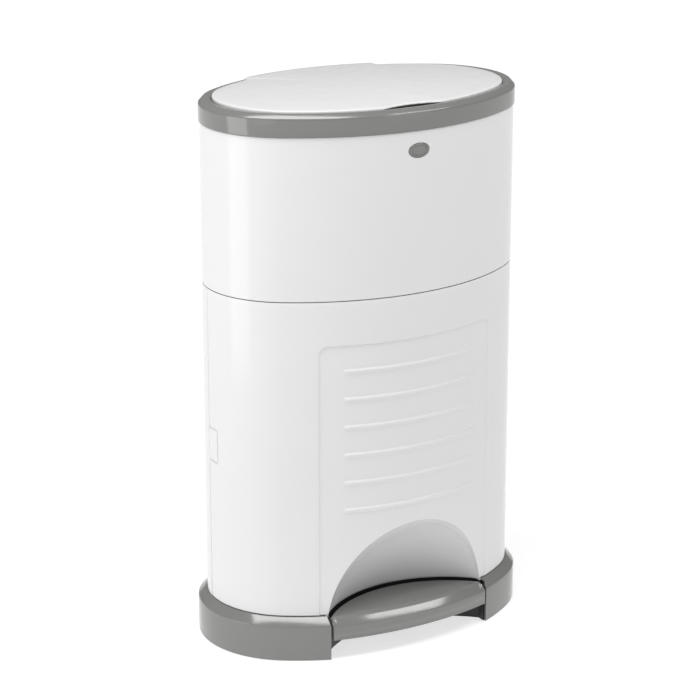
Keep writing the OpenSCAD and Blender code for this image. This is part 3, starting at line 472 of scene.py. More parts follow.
def posts_and_brackets(pile, floor_top):
    """Screw posts under the tray and the two brackets of the pedal's pivot."""
    for x in (-POSTS[0], POSTS[0]):
        for y in (-POSTS[1], POSTS[1]):
            turned(pile, "Z", (x, y, 0), closed_bend(
                [(1.5, floor_top, 0), (5, floor_top, 0), (5, BASE_TOP, 0.4), (1.5, BASE_TOP, 0)], 2), 24)
    for side in (-1, 1):
        x0, x1 = sorted((side * 27.5, side * 33.5))
        block(pile, (x0, 12, floor_top), (x1, 28, 30))


# Pedal


def pedal():
    """Section from the front's lower edge over the tread to the rear, carried along X, with two grip lines.

    At each X the front edge is an arc bulging forwards and the rear edge an arc bulging back. The tread falls
    in a quarter circle at both ends.
    """
    half = pedal_high[0]
    low, top = pedal_low[2], 44.0
    front_r, front_y = 340.0, 117.5
    back_r = pedal_back_radius()
    end_r = 5.0
    turn = np.linspace(0, math.pi / 2, 9)
    middle = np.linspace(-half + end_r, half - end_r, 181)
    x = np.concatenate([-half + end_r * (1 - np.sin(turn[::-1])), middle[1:-1], half - end_r * (1 - np.sin(turn))])
    fall = end_r * (1 - np.sqrt(1 - np.clip((np.abs(x) - half + end_r) / end_r, 0, 1) ** 2))
    x = np.concatenate([[-half], x, [half]])
    fall = np.concatenate([[top - low], fall, [top - low]])
    y_front = front_r - front_y - np.sqrt(front_r ** 2 - x ** 2)
    y_back = DOME_Y + np.sqrt(back_r ** 2 - x ** 2)
    rise = bend_corners([(0, 0, 0), (0, 14.6, 2.4), (7.2, 21.3, 2.6), (11, 22, 0)], 6)
    span = (y_back - y_front - 1.2) / (11 + 1.2)
    squeeze = np.minimum(span, 1.0)
    rows = []
    for depth, height in rise[:-1]:
        rows.append(np.stack([x, y_front + depth * squeeze, np.minimum(low + height, top - fall)], -1))
    y0 = y_front + rise[-1][0] * squeeze
    for share in np.linspace(0, 1, 121):
        y = y0 + share * (y_back - 1.2 - y0)
        z = np.minimum(top - 0.5 * math.sin(math.pi * share) ** 2 + grip_lines(x, y), top - fall + 0.8)
        rows.append(np.stack([x, y, np.maximum(z, low)], -1))
    for back, down in ((0.5, 0.25), (0.1, 0.8), (0.0, 1.6), (0.0, top - low)):
        rows.append(np.stack([x, y_back - back, np.maximum(np.minimum(top - down, top - fall), low)], -1))
    sheet = np.stack(rows)
    pile = Pile()
    pile.grid(sheet)
    obj = pile.make("pedal_tread", outwards=False)
    face_towards(obj, (0, -1, 0.6))
    give_wall(obj, 2.6)
    return finish_piece(obj, GREY, "grey_gloss", "pedal", body="pedal_arm")


def pedal_back_radius():
    """Radius of the pedal's rear edge: the hollow's foot less the dark gap."""
    return math.sqrt(DOME_R ** 2 - (BASE_TOP - DOME_Z) ** 2) - 3.0


def grip_lines(x, y):
    """Two raised arcs on the tread, each a bell of 0.8 mm across the arc, faded at its ends."""
    height = 0 * x
    for front, radius, half in ((90.5, 244.0, 58.0), (105.0, 180.0, 66.0)):
        away = np.hypot(x, y - (radius - front)) - radius
        height = height + 0.9 * np.exp(-(away / 0.9) ** 2) * smooth_step((half - np.abs(x)) / 4)
    return height


def face_towards(obj, way):
    """Flips a one-sided sheet if most of its area faces away from way."""
    data = obj.data
    normals = np.empty(len(data.polygons) * 3)
    areas = np.empty(len(data.polygons))
    data.polygons.foreach_get("normal", normals)
    data.polygons.foreach_get("area", areas)
    if (normals.reshape(-1, 3) @ np.array(way) * areas).sum() < 0:
        data.flip_normals()


# Lower body


def side_columns(first, last, marks, step):
    """X values from first to last at about step apart, closer together near each mark (place, reach, step)."""
    x, out = first, [first]
    while x < last - 1e-6:
        near = [s for place, reach, s in marks if abs(x - place) < reach or (x < place < x + step)]
        x = min(last, x + (min(near) if near else step))
        out.append(x)
    return np.array(out)


def dome_crest(x, front_y):
    """Height at which the hollow's sphere meets the front surface."""
    room = DOME_R ** 2 - x ** 2 - (front_y - DOME_Y) ** 2
    return DOME_Z + np.sqrt(np.maximum(room, 0))


def door_relief(x, z):
    """How far the door's face stands out: the sunk panel and the raised ribs on it."""
    dx = np.abs(x) - (PANEL_HALF - PANEL_R)
    dz = z - (PANEL_TOP - PANEL_R)
    outside = np.hypot(np.maximum(dx, 0), np.maximum(dz, 0)) + np.minimum(np.maximum(dx, dz), 0) - PANEL_R
    relief = -PANEL_DEPTH * (1 - smooth_step((outside + 0.7) / 1.4))
    for k in range(RIB_COUNT):
        middle = RIB_LOW + k * RIB_STEP
        away = np.abs(z - middle) / (RIB_H / 2 + 0.7)
        ends = smooth_step((RIB_HALF - np.abs(x)) / 1.6)
        relief = relief + RIB_OUT * ends * (1 - np.minimum(away, 1) ** 2.4)
    return relief


def front_door():
    """Door's skin: the oval's front half with its relief, cut by the hollow's crest, and the hollow itself."""
    low, high = BASE_TOP + SEAM / 2, SPLIT_Z - SEAM / 2
    knee = 150.0
    # Half width where the hollow's crest comes down to the door's lower edge
    wide = np.linspace(80, 100, 2001)
    crest = dome_crest(wide, -BODY.y_at(wide, -PANEL_DEPTH))
    half = wide[np.argmax(crest <= low)]
    inside = -half * np.cos(np.linspace(0, math.pi, 141))
    marks = [(PANEL_HALF, 3.0, 0.45), (PANEL_HALF - 6, 6.0, 0.9)]
    right = side_columns(half, BODY.side_r * math.cos(BODY.meet), marks, 2.4)[1:]
    x_side = np.concatenate([-right[::-1], inside, right])
    ways_side = -BODY.way_at_x(x_side)
    seam_way = BODY.way_at_y(SEAM_Y - SEAM / 2)
    end_ways = np.linspace(-BODY.meet, seam_way, 70)[1:]
    tab_way = -BODY.way_at_y(TAB_FRONT)
    end_ways = snap(end_ways, tab_way)
    ways = np.concatenate([-math.pi - end_ways[::-1], ways_side, end_ways])
    x0, y0 = BODY.at(ways)
    border = np.minimum(np.abs(ways - ways[0]), np.abs(ways - ways[-1])) * BODY.end_r
    crest = np.where(np.abs(x0) < half, dome_crest(x0, -BODY.y_at(np.clip(x0, -100, 100), -PANEL_DEPTH)), low)
    crest = np.maximum(crest, low)
    lower = np.linspace(0, 1, 46) ** 1.25
    upper = door_rows(knee, high)
    z_low = crest[None, :] + lower[:, None] * (knee - crest[None, :])
    z = np.concatenate([z_low[:-1], np.repeat(upper[:, None], len(ways), 1)])
    front = (y0 < 0) & (np.abs(x0) < BODY.side_r * math.cos(BODY.meet))
    relief = np.where(front[None, :], door_relief(x0[None, :] + 0 * z, z), 0.0)
    drop = edge_drop(z - low) + edge_drop(high - z) + edge_drop(border)[None, :]
    in_dome = np.abs(x0) < half
    drop = np.where(in_dome[None, :] & (z < knee), edge_drop(z - crest[None, :], 0.5), drop)
    x, y = BODY.at(ways[None, :] + 0 * z, relief - drop)
    pile = Pile()
    faces = grid_faces(*z.shape)
    way_mid = (ways[None, :-1] + ways[None, 1:]) / 2 + 0 * z[:-1, 1:]
    z_mid = (z[:-1, 1:] + z[1:, 1:]) / 2
    tab_hole = (way_mid < -math.pi + BODY.way_at_y(TAB_FRONT)) & (z_mid > TAB_Z[0]) & (z_mid < TAB_Z[1])
    pile.add(np.stack([x, y, z], -1), faces[~tab_hole.reshape(-1)])
    cols = np.where(in_dome)[0]
    cols = np.concatenate([[cols[0] - 1], cols, [cols[-1] + 1]])
    hollow_sheet(pile, x[0, cols], y[0, cols], z[0, cols], low)
    obj = pile.make("door_skin", outwards=False)
    face_towards_out(obj)
    give_wall(obj, SKIN)
    finish_piece(obj, WHITE, "white_gloss", "front_door", body="door")
    barrels = Pile()
    for z0 in STATIONS:
        third = STATION_H / 3
        span = (z0 + third + KNUCKLE_GAP / 2, z0 + 2 * third - KNUCKLE_GAP / 2)
        turned(barrels, "Z", (HINGE_X, SEAM_Y, 0), knuckle_profile(PIN_R, HINGE_R, *span))
        block(barrels, (HINGE_X - 4.6, SEAM_Y - 7, span[0]), (HINGE_X - 1.9, SEAM_Y - 0.8, span[1]))
    finish_piece(barrels.make("door_knuckles"), WHITE, "white_gloss", "front_door", body="door")
    return obj


def snap(values, target):
    """Moves the value nearest to target onto it."""
    values = values.copy()
    values[np.argmin(np.abs(values - target))] = target
    return values


def door_rows(knee, high):
    """Heights of the door's rows above the hollow: close together at each rib, the panel's top and the tab."""
    marks = [(RIB_LOW + k * RIB_STEP, RIB_H / 2 + 1.4, 0.42) for k in range(RIB_COUNT)]
    marks += [(PANEL_TOP - 5, 7.5, 0.8), (PANEL_TOP, 2.0, 0.4), (high, 1.6, 0.3)]
    rows = side_columns(knee, high, marks, 3.0)
    for edge in TAB_Z:
        rows = snap(rows, edge)
    return rows


def hollow_sheet(pile, x, y_crest, crest, low):
    """The hollow over the pedal: columns at fixed X from the door's lower edge up to the crest, on a sphere.

    A faint step runs just inside the crest, where the sphere lies 0.7 mm deeper.
    """
    share = np.concatenate([np.linspace(0, 0.9, 40), np.linspace(0.905, 0.935, 8), np.linspace(0.945, 1, 9)])
    z = low + share[:, None] * (crest[None, :] - low)
    inside = np.maximum(DOME_R ** 2 - x[None, :] ** 2 - (z - DOME_Z) ** 2, 0)
    y = DOME_Y + np.sqrt(inside)
    rim = (y_crest - y[-1])[None, :] * smooth_step((share[:, None] - 0.93) / 0.07)
    step = 0.7 * (1 - smooth_step((share[:, None] - 0.912) / 0.016)) * np.clip((crest - low) / 20, 0, 1)[None, :]
    y = np.maximum(y + rim + step, y_crest[None, :])
    pile.grid(np.stack([x[None, :] + 0 * z, y, z], -1))


def rear_shell():
    """Plain wall from seam to seam round the back, with softly broken borders, and its hinge barrels."""
    low, high = BASE_TOP, SPLIT_Z - SEAM / 2
    seam_way = BODY.way_at_y(SEAM_Y + SEAM / 2)
    ways = BODY.spread(seam_way, math.pi - seam_way, 261)
    near = np.array([0.0, 0.15, 0.35, 0.6, 0.8, 1.2])
    z = np.concatenate([low + near, np.linspace(low + 4, high - 4, 60), high - near[::-1]])[:, None]
    x0, y0 = BODY.at(ways)
    run = np.concatenate([[0], np.cumsum(np.hypot(np.diff(x0), np.diff(y0)))])
    border = np.minimum(run, run[-1] - run)[None, :]
    drop = edge_drop(z - low) + edge_drop(high - z) + edge_drop(border)
    x, y = BODY.at(ways[None, :] + 0 * z, -drop)
    pile = Pile()
    pile.grid(np.stack([x, y, z + 0 * x], -1))
    obj = pile.make("rear_skin", outwards=False)
    face_towards(obj, (0, 1, 0))
    give_wall(obj, SKIN)
    finish_piece(obj, WHITE, "white_gloss", "rear_shell", body="base_unit")
    barrels = Pile()
    third = STATION_H / 3
    for z0 in STATIONS:
        for a, b in ((z0, z0 + third - KNUCKLE_GAP / 2), (z0 + 2 * third + KNUCKLE_GAP / 2, z0 + STATION_H)):
            turned(barrels, "Z", (HINGE_X, SEAM_Y, 0), knuckle_profile(PIN_R, HINGE_R, a, b))
            block(barrels, (HINGE_X - 5, SEAM_Y + 0.8, a), (HINGE_X - 2.1, SEAM_Y + 7, b))
    for side in (-1, 1):
        for a, b in ((TILT_SPAN[0], TILT_SPAN[0] + third - KNUCKLE_GAP / 2),
                     (TILT_SPAN[0] + 2 * third + KNUCKLE_GAP / 2, TILT_SPAN[1])):
            tilt_barrel(barrels, side, a, b, -1)
    finish_piece(barrels.make("rear_knuckles"), WHITE, "white_gloss", "rear_shell", body="base_unit")
    return obj


def tilt_barrel(pile, side, a, b, way):
    """Barrel of the tilting hinge with its web to the wall, below the joint line for way -1 or above it for 1."""
    a, b = sorted((side * a, side * b))
    turned(pile, "X", (0, TILT_Y, SPLIT_Z), knuckle_profile(PIN_R, HINGE_R, a, b))
    inner = float(BODY.y_at(max(abs(a), abs(b)), -1.5))
    low, high = (SPLIT_Z - 8, SPLIT_Z - 2.4) if way < 0 else (SPLIT_Z + 2.4, SPLIT_Z + 8)
    block(pile, (a, inner, low), (b, TILT_Y - 0.1, high))


# Upper unit


def front_patch_y(x):
    """Y of the front surface at x."""
    return -BODY.y_at(x)


def upper_shell():
    """Full oval wall whose front holds an oval hole for the button, filled round by rings between two loops."""
    low, high = SPLIT_Z + SEAM / 2, RING_LOW
    half_x, half_z = 20.0, 13.0
    side = np.linspace(-half_x, half_x, 33)
    edge_x = BODY.side_r * math.cos(BODY.meet)
    x_front = np.concatenate([np.linspace(-edge_x, -half_x, 50)[:-1], side, np.linspace(half_x, edge_x, 50)[1:]])
    front = -BODY.way_at_x(x_front)
    rest = BODY.spread(-BODY.meet, math.pi + BODY.meet, 240)[1:-1]
    ways = np.concatenate([front, rest])
    near = np.array([0.0, 0.15, 0.35, 0.6, 0.8, 1.2])
    z = np.concatenate([low + near, np.linspace(low + 5, BUTTON_Z - half_z, 34),
                        np.linspace(BUTTON_Z - half_z, BUTTON_Z + half_z, 22)[1:],
                        np.array([BUTTON_Z + half_z + 3]), high - near[::-1]])
    drop = (edge_drop(z - low) + edge_drop(high - z))[:, None]
    x, y = BODY.at(ways[None, :] + 0 * drop, -drop + 0 * ways[None, :])
    points = np.stack([x, y, z[:, None] + 0 * x], -1)
    rows, cols = points.shape[:2]
    faces = grid_faces(rows, cols, close_cols=True)
    j0 = 49
    j1 = j0 + len(side) - 1
    i0 = int(np.argmin(np.abs(z - (BUTTON_Z - half_z))))
    i1 = int(np.argmin(np.abs(z - (BUTTON_Z + half_z))))
    row_of, col_of = np.divmod(np.arange(len(faces)), cols)
    in_patch = (row_of >= i0) & (row_of < i1) & (col_of >= j0) & (col_of < j1)
    pile = Pile()
    pile.add(points, faces[~in_patch])
    loop = np.concatenate([points[i0, j0:j1], points[i0:i1, j1], points[i1, j1:j0:-1], points[i1:i0:-1, j0]])
    turn = np.arctan2((loop[:, 2] - BUTTON_Z) / BUTTON_B, loop[:, 0] / BUTTON_A)
    a, b = BUTTON_A + BUTTON_GAP, BUTTON_B + BUTTON_GAP
    rings = []
    for share in np.linspace(0, 1, 13) ** 0.8:
        px = loop[:, 0] + share * (a * np.cos(turn) - loop[:, 0])
        pz = loop[:, 2] + share * (BUTTON_Z + b * np.sin(turn) - loop[:, 2])
        rings.append(np.stack([px, front_patch_y(px), pz], -1))
    pile.grid(np.stack(rings), close_cols=True)
    obj = pile.make("upper_skin", outwards=False)
    face_towards_out(obj)
    give_wall(obj, SKIN)
    finish_piece(obj, WHITE, "white_gloss", "upper_shell", body="top_unit")
    barrels = Pile()
    third = STATION_H / 3
    for side_x in (-1, 1):
        tilt_barrel(barrels, side_x, TILT_SPAN[0] + third + KNUCKLE_GAP / 2,
                    TILT_SPAN[0] + 2 * third - KNUCKLE_GAP / 2, 1)
        a, b = sorted((side_x * 9.5, side_x * 13.5))
        for z in CROSS_LUGS:
            block(barrels, (a, -BODY.y_at(13.5, -WALL) - 0.2, z), (b, -91, z + 5))
    finish_piece(barrels.make("upper_knuckles"), WHITE, "white_gloss", "upper_shell", body="top_unit")
    return obj


def face_towards_out(obj):
    """Turns each face of an upright wall away from the Z axis."""
    work = bmesh.new()
    work.from_mesh(obj.data)
    bmesh.ops.recalc_face_normals(work, faces=work.faces)
    work.normal_update()
    lean = sum(f.calc_area() * (f.normal.x * f.calc_center_median().x + f.normal.y * f.calc_center_median().y)
               for f in work.faces)
    if lean < 0:
        bmesh.ops.reverse_faces(work, faces=work.faces)
    work.to_mesh(obj.data)
    work.free()


def lid_ring():
    """Ring section carried round both ovals outside the lid's hinge part, and a trough with a low wall inside it."""
    corners_of = [
        (BODY, RING_OUT, RING_LOW + 0.3, 0.6), (BODY, RING_OUT, RING_TOP - 5.2, 3.4),
        (BODY, -3.6, RING_TOP - 0.4, 2.0), (BODY, -9.6, RING_TOP - 1.2, 1.2),
        (LID, LID_GAP, RING_TOP - 2.6, 0.5), (LID, LID_GAP, WEB_TOP, 0),
        (LID, -7.5, WEB_TOP, 0), (LID, -7.6, WEB_TOP, 0),
        (LID, -OPENING_IN, WEB_TOP, 0.6), (LID, -OPENING_IN, WEB_LOW, 0.6),
        (BODY, -WALL - 0.2, WEB_LOW, 0), (BODY, -WALL - 0.2, RING_LOW + 0.3, 0)]
    shift = BODY.end_x + BODY.end_r - LID.end_x - LID.end_r
    flat = [(g if o is BODY else g - shift, z, r) for o, g, z, r in corners_of]
    loop = closed_bend(flat, 5)
    inner_from = -shift + LID_GAP + 0.6
    section = [(BODY, g) if (g > inner_from or abs(g + WALL + 0.2) < 0.01) else (LID, g + shift)
               for g, z in loop]
    cut = TAIL_HALF + 1
    starts = [float(oval.way_at_x(cut, grow)) for oval, grow in section]
    ways = [oval.spread(start, -math.pi - start, 361, grow) for (oval, grow), start in zip(section, starts)]
    wall = sweep_section(ways, section, loop[:, 1])
    for row, ((oval, grow), z) in enumerate(zip(section, loop[:, 1])):
        if oval is LID and grow > -7.55 and abs(z - WEB_TOP) < 0.01:
            finger = (np.abs(wall[row, :, 0]) < NOTCH_W / 2 - 2) & (wall[row, :, 1] < 0)
            wall[row, finger, 2] = WEB_TOP - 9
    pile = Pile()
    pile.grid(wall, close_rows=True)
    pile.add(wall[:, 0], [range(len(loop))])
    pile.add(wall[:, -1], [range(len(loop))])
    x = np.linspace(-cut, cut, 81)
    floor_z = LID_AXIS[1] - TAIL_SWEEP
    front_y = LID_AXIS[0] - TAIL_SWEEP
    out_y, in_y = BODY.y_at(x, RING_OUT), BODY.y_at(x, -WALL - 0.2)
    web_y = LID.y_at(x, -OPENING_IN)
    trough = [(out_y, RING_LOW), (out_y, floor_z - 0.6), (out_y - 0.6, floor_z), (front_y, floor_z),
              (front_y, WEB_TOP), (web_y, WEB_TOP), (web_y, WEB_LOW), (front_y - 2, WEB_LOW),
              (front_y - 2, floor_z - 2), (in_y, floor_z - 2), (in_y, RING_LOW)]
    sheet = np.stack([np.stack([x, y + 0 * x, z + 0 * x], -1) for y, z in trough])
    pile.grid(sheet, close_rows=True)
    pile.add(sheet[:, 0], [range(len(trough))])
    pile.add(sheet[:, -1], [range(len(trough))])
    for side in (-1, 1):
        for a, b in ((20, 30), (39, 49)):
            a, b = sorted((side * a, side * b))
            turned(pile, "X", (0, *LID_AXIS), knuckle_profile(1.55, 3.2, a, b))
            block(pile, (a, LID_AXIS[0] - 3.1, floor_z - 0.5), (b, LID_AXIS[0] - 1.7, LID_AXIS[1] - 1))
    return finish_piece(pile.make("ring_collar", sharp=34), GREY, "grey_gloss", "lid_ring", body="top_unit")


def lid_outline():
    """Lid's border: its oval with a shallow arc cut into the front, and the hinge part that runs to the back edge."""
    back = float(LID.way_at_x(TAIL_HALF))
    start, end = math.pi - back, 2 * math.pi + back
    ways = LID.spread(start, end, 561)
    x, y = LID.at(ways)
    notch_r = ((NOTCH_W / 2) ** 2 + NOTCH_DEPTH ** 2) / (2 * NOTCH_DEPTH)
    centre = -LID_D / 2 + NOTCH_DEPTH - notch_r
    cut = centre + np.sqrt(np.maximum(notch_r ** 2 - x ** 2, 0))
    y = np.where((y < 0) & (np.abs(x) < NOTCH_W / 2), np.maximum(y, cut), y)
    edge = BODY.y_at(TAIL_HALF, -0.3)
    side = np.linspace(y[-1], edge, 8)[1:]
    tail_x = np.linspace(TAIL_HALF, -TAIL_HALF, 90)
    tail_y = BODY.y_at(tail_x, -0.3)
    xs = np.concatenate([x, np.full(7, TAIL_HALF), tail_x[1:-1], np.full(7, -TAIL_HALF)])
    ys = np.concatenate([y, side, tail_y[1:-1], side[::-1]])
    return np.stack([xs, ys], -1)


def inset(loop, distance):
    """Moves a closed outline inwards along its averaged normals."""
    ahead = np.roll(loop, -1, 0) - np.roll(loop, 1, 0)
    normal = np.stack([ahead[:, 1], -ahead[:, 0]], -1)
    normal /= np.linalg.norm(normal, axis=1, keepdims=True)
    return loop - normal * distance


def lid_top():
    """Rounded border round the lid's outline, a crowned top that closes to the middle, and a flat underside.

    At the notch the border is undercut, so a fingertip finds a thin edge.
    """
    outline = lid_outline()
    low = LID_Z - LID_T
    border = [(0.7, low, 9), (0.2, low + 0.25, 9), (0.0, low + 0.8, 9), (0.0, LID_Z - 2.0, 9),
              (0.0, LID_Z - 1.9, 0.3), (0.0, LID_Z - 1.4, 0), (0.16, LID_Z - 0.75, 0), (0.6, LID_Z - 0.25, 0),
              (1.3, LID_Z - 0.02, 0)]
    finger = smooth_step((NOTCH_W / 2 - 1 - np.abs(outline[:, 0])) / 5) * (outline[:, 1] < -50)
    rings = [np.column_stack([inset(outline, (d + under * finger)[:, None]), np.full(len(outline), z)])
             for d, z, under in border]
    inner = inset(outline, border[-1][0])
    for s in np.linspace(0, 1, 26)[1:-1]:
        z = LID_Z + LID_CROWN * (1 - (1 - s) ** 2)
        rings.append(np.column_stack([inner * (1 - s), np.full(len(outline), z)]))
    pile = Pile()
    sheet = np.stack(rings)
    pile.grid(sheet, close_cols=True)
    count = len(outline)
    tip = np.array([[0, 0, LID_Z + LID_CROWN]])
    pile.add(np.concatenate([sheet[-1], tip]), [(k, (k + 1) % count, count) for k in range(count)])
    under = [np.column_stack([rings[0][:, :2] * (1 - s), np.full(count, low)]) for s in (0, 0.06, 0.3, 0.7)]
    pile.grid(np.stack(under), close_cols=True, flip=True)
    pile.add(np.concatenate([under[-1], [[0, 0, low]]]), [((k + 1) % count, k, count) for k in range(count)])
    for side in (-1, 1):
        a, b = sorted((side * 30.4, side * 38.6))
        turned(pile, "X", (0, *LID_AXIS), knuckle_profile(1.55, 4.4, a, b))
    return finish_piece(pile.make("lid_cover", sharp=34), LID_WHITE, "white_gloss", "lid", body="lid_unit")


def lid_liner():
    """Rim and plate under the lid: a closed section carried round the lid's oval, closed to the middle."""
    low, high = LID_Z - LID_T - 8, LID_Z - LID_T
    out = -OPENING_IN - 3.2
    ways = LID.spread(0, 2 * math.pi, 241)[:-1]
    profile = bend_corners([(out - 12, high - 2), (out - 2.5, high - 2, 2.0), (out - 2.5, low, 0.8), (out, low, 0.8),
                            (out, high, 0.3), (out - 12, high)], 4)
    sheet = sweep_section([ways] * len(profile), [(LID, g) for g in profile[:, 0]], profile[:, 1])
    pile = Pile()
    pile.grid(sheet, close_cols=True)
    count = len(ways)
    for ring, z in ((sheet[0], high - 2), (sheet[-1], high)):
        inner = [ring * [1 - s, 1 - s, 1] for s in (0, 0.5)]
        pile.grid(np.stack(inner), close_cols=True)
        pile.add(np.concatenate([inner[-1], [[0, 0, z]]]), [(k, (k + 1) % count, count) for k in range(count)])
    return finish_piece(pile.make("lid_lining"), LIGHT, "light_plastic", "lid_liner", body="lid_unit")


def chute():
    """Funnel: the mouth's oval morphs with height into the throat's rectangle, inside and outside."""
    ways = LID.spread(0, 2 * math.pi, 361)[:-1]
    mouth_in = OPENING_IN + 2
    mouth_x, mouth_y = LID.at(ways, -mouth_in)
    turn = np.arctan2(mouth_y / (LID_D / 2 - mouth_in), mouth_x / (LID_W / 2 - mouth_in))

    def throat(extra):
        """Rectangle with small corners, reached from the mouth's point at the same turn."""
        c, s = np.cos(turn), np.sin(turn)
        power = 14.0
        scale = (np.abs(c) ** power + np.abs(s) ** power) ** (-1 / power)
        return (THROAT_X + extra) * c * scale, (THROAT_Y + extra) * s * scale

    def level(share, z, extra):
        tx, ty = throat(extra)
        mx, my = LID.at(ways, extra - mouth_in)
        return np.stack([mx + share * (tx - mx), my + share * (ty - my), np.full_like(mx, z)], -1)

    top, neck = WEB_LOW, WEB_LOW - 8
    foot = SPLIT_Z + SEAM / 2 + 3
    shares = np.linspace(0, 1, 25)
    inside = [level(0, top, 0)] + [level(s, neck + s * (FUNNEL_LOW - neck), 0) for s in smooth_step(shares)]
    inside += [level(1, foot, 0)]
    outside = [level(1, foot, CHUTE_T)] + [level(s, neck + s * (FUNNEL_LOW - neck), CHUTE_T)
                                          for s in smooth_step(shares)[::-1]]
    flange_x, flange_y = LID.at(ways, -4.0)
    flange_y = np.minimum(flange_y, 93.0)
    finger = smooth_step((NOTCH_W / 2 + 2 - np.abs(flange_x)) / 3) * (flange_y < 0)
    flange_y = np.maximum(flange_y, -200 + finger * (200 - 95.8))
    outside += [level(0, top - 3, CHUTE_T)]
    outside += [np.stack([flange_x, flange_y, np.full_like(flange_x, z)], -1) for z in (top - 3, top)]
    pile = Pile()
    pile.grid(np.stack(inside + outside), close_rows=True, close_cols=True)
    return finish_piece(pile.make("chute_funnel"), LIGHT, "light_plastic", "chute", body="top_unit")


def button():
    """Oval cap with a soft dome, its stem and its flange, turned round the button's own axis as scaled rings."""
    turn = np.linspace(0, 2 * math.pi, 97)[:-1]
    cap = [(0.0, 1.1), (0.35, 1.05), (0.6, 0.9), (0.68, 0.75), (0.7, 0.3), (0.75, 0.3), (0.77, 0.95),
           (0.8, 1.15), (0.86, 1.1), (0.93, 0.6), (0.98, 0.05), (1.0, -0.6), (1.0, -4.0),
           (1.2, -4.2), (1.2, -5.6), (0.35, -5.8), (0.35, -11.0), (0.0, -11.0)]
    front = -BODY_D / 2
    rings = []
    for share, out in cap:
        size = (BUTTON_A * share, BUTTON_B * share) if share <= 1 else (BUTTON_A + 2.4, BUTTON_B + 2.4)
        x, z = size[0] * np.cos(turn), BUTTON_Z + size[1] * np.sin(turn)
        bulge = np.where(share > 0.5, -front - BODY.y_at(x), 0.0) if out > -1 else 0.0
        rings.append(np.stack([x, front - out * 0.6 + bulge + 0 * x, z], -1))
    for k, (share, out) in enumerate(cap):
        if out < -1:
            rings[k][:, 1] = front - out
    pile = Pile()
    pile.grid(np.stack(rings), close_cols=True)
    return finish_piece(pile.make("button_cap"), GREY, "grey_gloss", "release_button", body="button")


def latch_tab():
    """Patch of the body's wall with broken borders, and the stem and arm behind it."""
    low, high = TAB_Z[0] + TAB_LINE, TAB_Z[1] - TAB_LINE
    first = math.pi - BODY.way_at_y(SEAM_Y - SEAM / 2)
    last = math.pi + BODY.way_at_y(TAB_FRONT - TAB_LINE)
    ways = np.linspace(first, last, 41)
    z = side_columns(low, high, [(low, 1.4, 0.2), (high, 1.4, 0.2)], 1.5)[:, None]
    border = np.minimum(np.abs(ways - first), np.abs(ways - last))[None, :] * BODY.end_r
    drop = edge_drop(z - low) + edge_drop(high - z) + edge_drop(border)
    x, y = BODY.at(ways[None, :] + 0 * z, -drop)
    pile = Pile()
    pile.grid(np.stack([x, y, z + 0 * x], -1))
    obj = pile.make("side_tab", outwards=False)
    face_towards(obj, (-1, 0, 0))
    give_wall(obj, SKIN)
    finish_piece(obj, WHITE, "white_gloss", "door_latch", body="latch")
    stem = Pile()
    wall_x, mid = -BODY.end_x - math.sqrt(84.0 ** 2 - 16), (TAB_Z[0] + TAB_Z[1]) / 2
    block(stem, (wall_x - 0.1, -1, mid - 8), (wall_x + 7, 9, mid + 8))
    block(stem, (wall_x + 3.5, 9, mid - 5), (wall_x + 7, 20, mid + 5))
    piece = stem.make("tab_stem")
    soften(piece, 0.5)
    finish_piece(piece, WHITE, "white_gloss", "door_latch", body="latch")
    return obj


def soften(obj, width, angle=50):
    """Breaks a piece's hard edges."""
    bevel = obj.modifiers.new("edges", "BEVEL")
    bevel.width = width * MM
    bevel.segments = 2
    bevel.limit_method = "ANGLE"
    bevel.angle_limit = math.radians(angle)


# Studio


def studio():
    """White floor and background, strips overhead for the sloping edges, soft windows left and right."""
    scene = bpy.context.scene
    scene.view_settings.view_transform = "Standard"
    world = bpy.data.worlds.new("pale_room")
    scene.world = world
    world.use_nodes = True
    tree = world.node_tree
    back = tree.nodes["Background"]
    back.inputs["Color"].default_value = (1, 1, 1, 1)
    back.inputs["Strength"].default_value = 0.275
    seen = tree.nodes.new("ShaderNodeBackground")
    seen.inputs["Color"].default_value = (1, 1, 1, 1)
    seen.inputs["Strength"].default_value = 1.0
    path = tree.nodes.new("ShaderNodeLightPath")
    pick = tree.nodes.new("ShaderNodeMixShader")
    tree.links.new(path.outputs["Is Camera Ray"], pick.inputs["Fac"])
    tree.links.new(back.outputs[0], pick.inputs[1])
    tree.links.new(seen.outputs[0], pick.inputs[2])
    tree.links.new(pick.outputs[0], tree.nodes["World Output"].inputs["Surface"])
    floor_sheet()
    lamp("window_left", (-1.9, -1.1, 0.9), (0, 0, 0.3), (1.0, 1.6), 2.8)
    lamp("card_left", (-1.05, 0.08, 0.42), (-0.12, 0, 0.4), (0.5, 0.8), 2.8)
    lamp("shoulder_strip", (-0.7, -0.36, 2.2), (-0.7, -0.36, 0), (2.0, 0.62), 34.0, turn=-40)
    lamp("pedal_strip", (1.25, -0.95, 2.2), (1.25, -0.95, 0), (1.2, 0.45), 14.0)
    lamp("fill_right", (1.1, -2.4, 1.0), (0, 0, 0.3), (1.2, 1.6), 5.0)


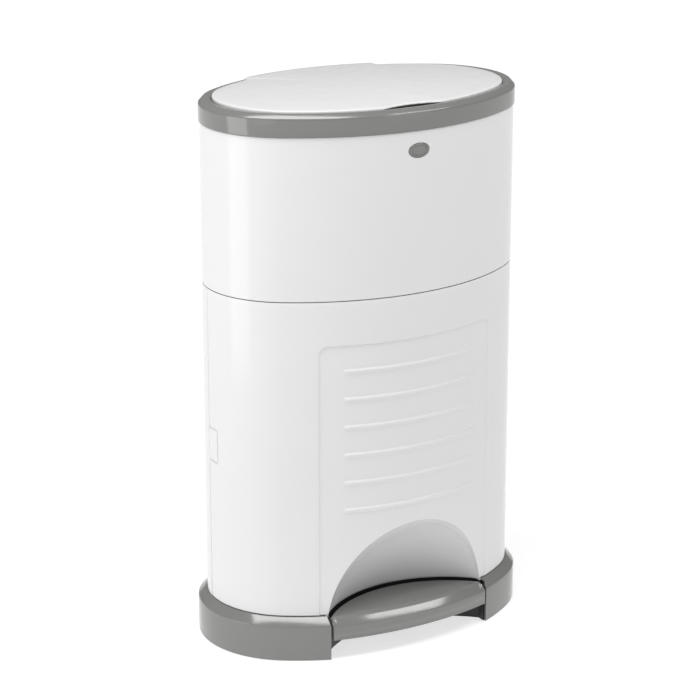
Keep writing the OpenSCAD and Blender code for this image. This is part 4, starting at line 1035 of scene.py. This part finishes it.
def floor_sheet():
    """Wide floor that reads white where no shadow falls."""
    size = 6.0
    data = bpy.data.meshes.new("floor")
    data.from_pydata([(-size, -size, 0), (size, -size, 0), (size, size, 0), (-size, size, 0)], [], [(0, 1, 2, 3)])
    floor = bpy.data.objects.new("floor", data)
    bpy.context.scene.collection.objects.link(floor)
    mat, tree, shader = new_material("pale_floor")
    shader.inputs["Base Color"].default_value = (0.5, 0.5, 0.5, 1)
    shader.inputs["Emission Color"].default_value = (1, 1, 1, 1)
    shader.inputs["Emission Strength"].default_value = 0.68
    shader.inputs["Roughness"].default_value = 0.9
    shader.inputs["Specular IOR Level"].default_value = 0.0
    coord = tree.nodes.new("ShaderNodeTexCoord")
    away = tree.nodes.new("ShaderNodeVectorMath")
    away.operation = "LENGTH"
    tree.links.new(coord.outputs["Object"], away.inputs[0])
    reach = tree.nodes.new("ShaderNodeMapRange")
    reach.interpolation_type = "SMOOTHSTEP"
    reach.inputs["From Min"].default_value = 0.25
    reach.inputs["From Max"].default_value = 0.5
    tree.links.new(away.outputs["Value"], reach.inputs["Value"])
    glow = tree.nodes.new("ShaderNodeEmission")
    glow.inputs["Strength"].default_value = 1.05
    spread = tree.nodes.new("ShaderNodeMixShader")
    tree.links.new(reach.outputs[0], spread.inputs["Fac"])
    tree.links.new(shader.outputs[0], spread.inputs[1])
    tree.links.new(glow.outputs[0], spread.inputs[2])
    tree.links.new(spread.outputs[0], tree.nodes["Material Output"].inputs["Surface"])
    data.materials.append(mat)


def lamp(name, place, target, size, power, turn=0.0):
    """Rectangular soft lamp that looks at target, turned about its own axis by turn degrees."""
    data = bpy.data.lights.new(name, "AREA")
    data.shape = "RECTANGLE"
    data.size, data.size_y = size
    data.energy = power
    obj = bpy.data.objects.new(name, data)
    obj.location = place
    look = (Vector(target) - Vector(place)).to_track_quat("-Z", "Y")
    obj.rotation_euler = (look @ Quaternion((0, 0, 1), math.radians(turn))).to_euler()
    bpy.context.scene.collection.objects.link(obj)


def camera():
    """Camera fitted to the photograph: azimuth, elevation, distance and lens."""
    azimuth, elevation = math.radians(-31.164), math.radians(17.497)
    distance, lens, sensor = 2.5897, 128.278, 36.0
    aim_right, aim_z = -0.00896, 0.28907
    out = Vector((math.sin(azimuth) * math.cos(elevation), -math.cos(azimuth) * math.cos(elevation),
                  math.sin(elevation)))
    aim = Vector((math.cos(azimuth), math.sin(azimuth), 0)) * aim_right + Vector((0, 0, aim_z))
    data = bpy.data.cameras.new("camera")
    data.lens, data.sensor_width = lens, sensor
    obj = bpy.data.objects.new("camera", data)
    obj.location = aim + out * distance
    obj.rotation_euler = (-out).to_track_quat("-Z", "Y").to_euler()
    bpy.context.scene.collection.objects.link(obj)
    bpy.context.scene.camera = obj


camera()
studio()
finish_nodes()
plinth()
pedal()
front_door()
rear_shell()
upper_shell()
lid_ring()
lid_top()
lid_liner()
chute()
button()
latch_tab()
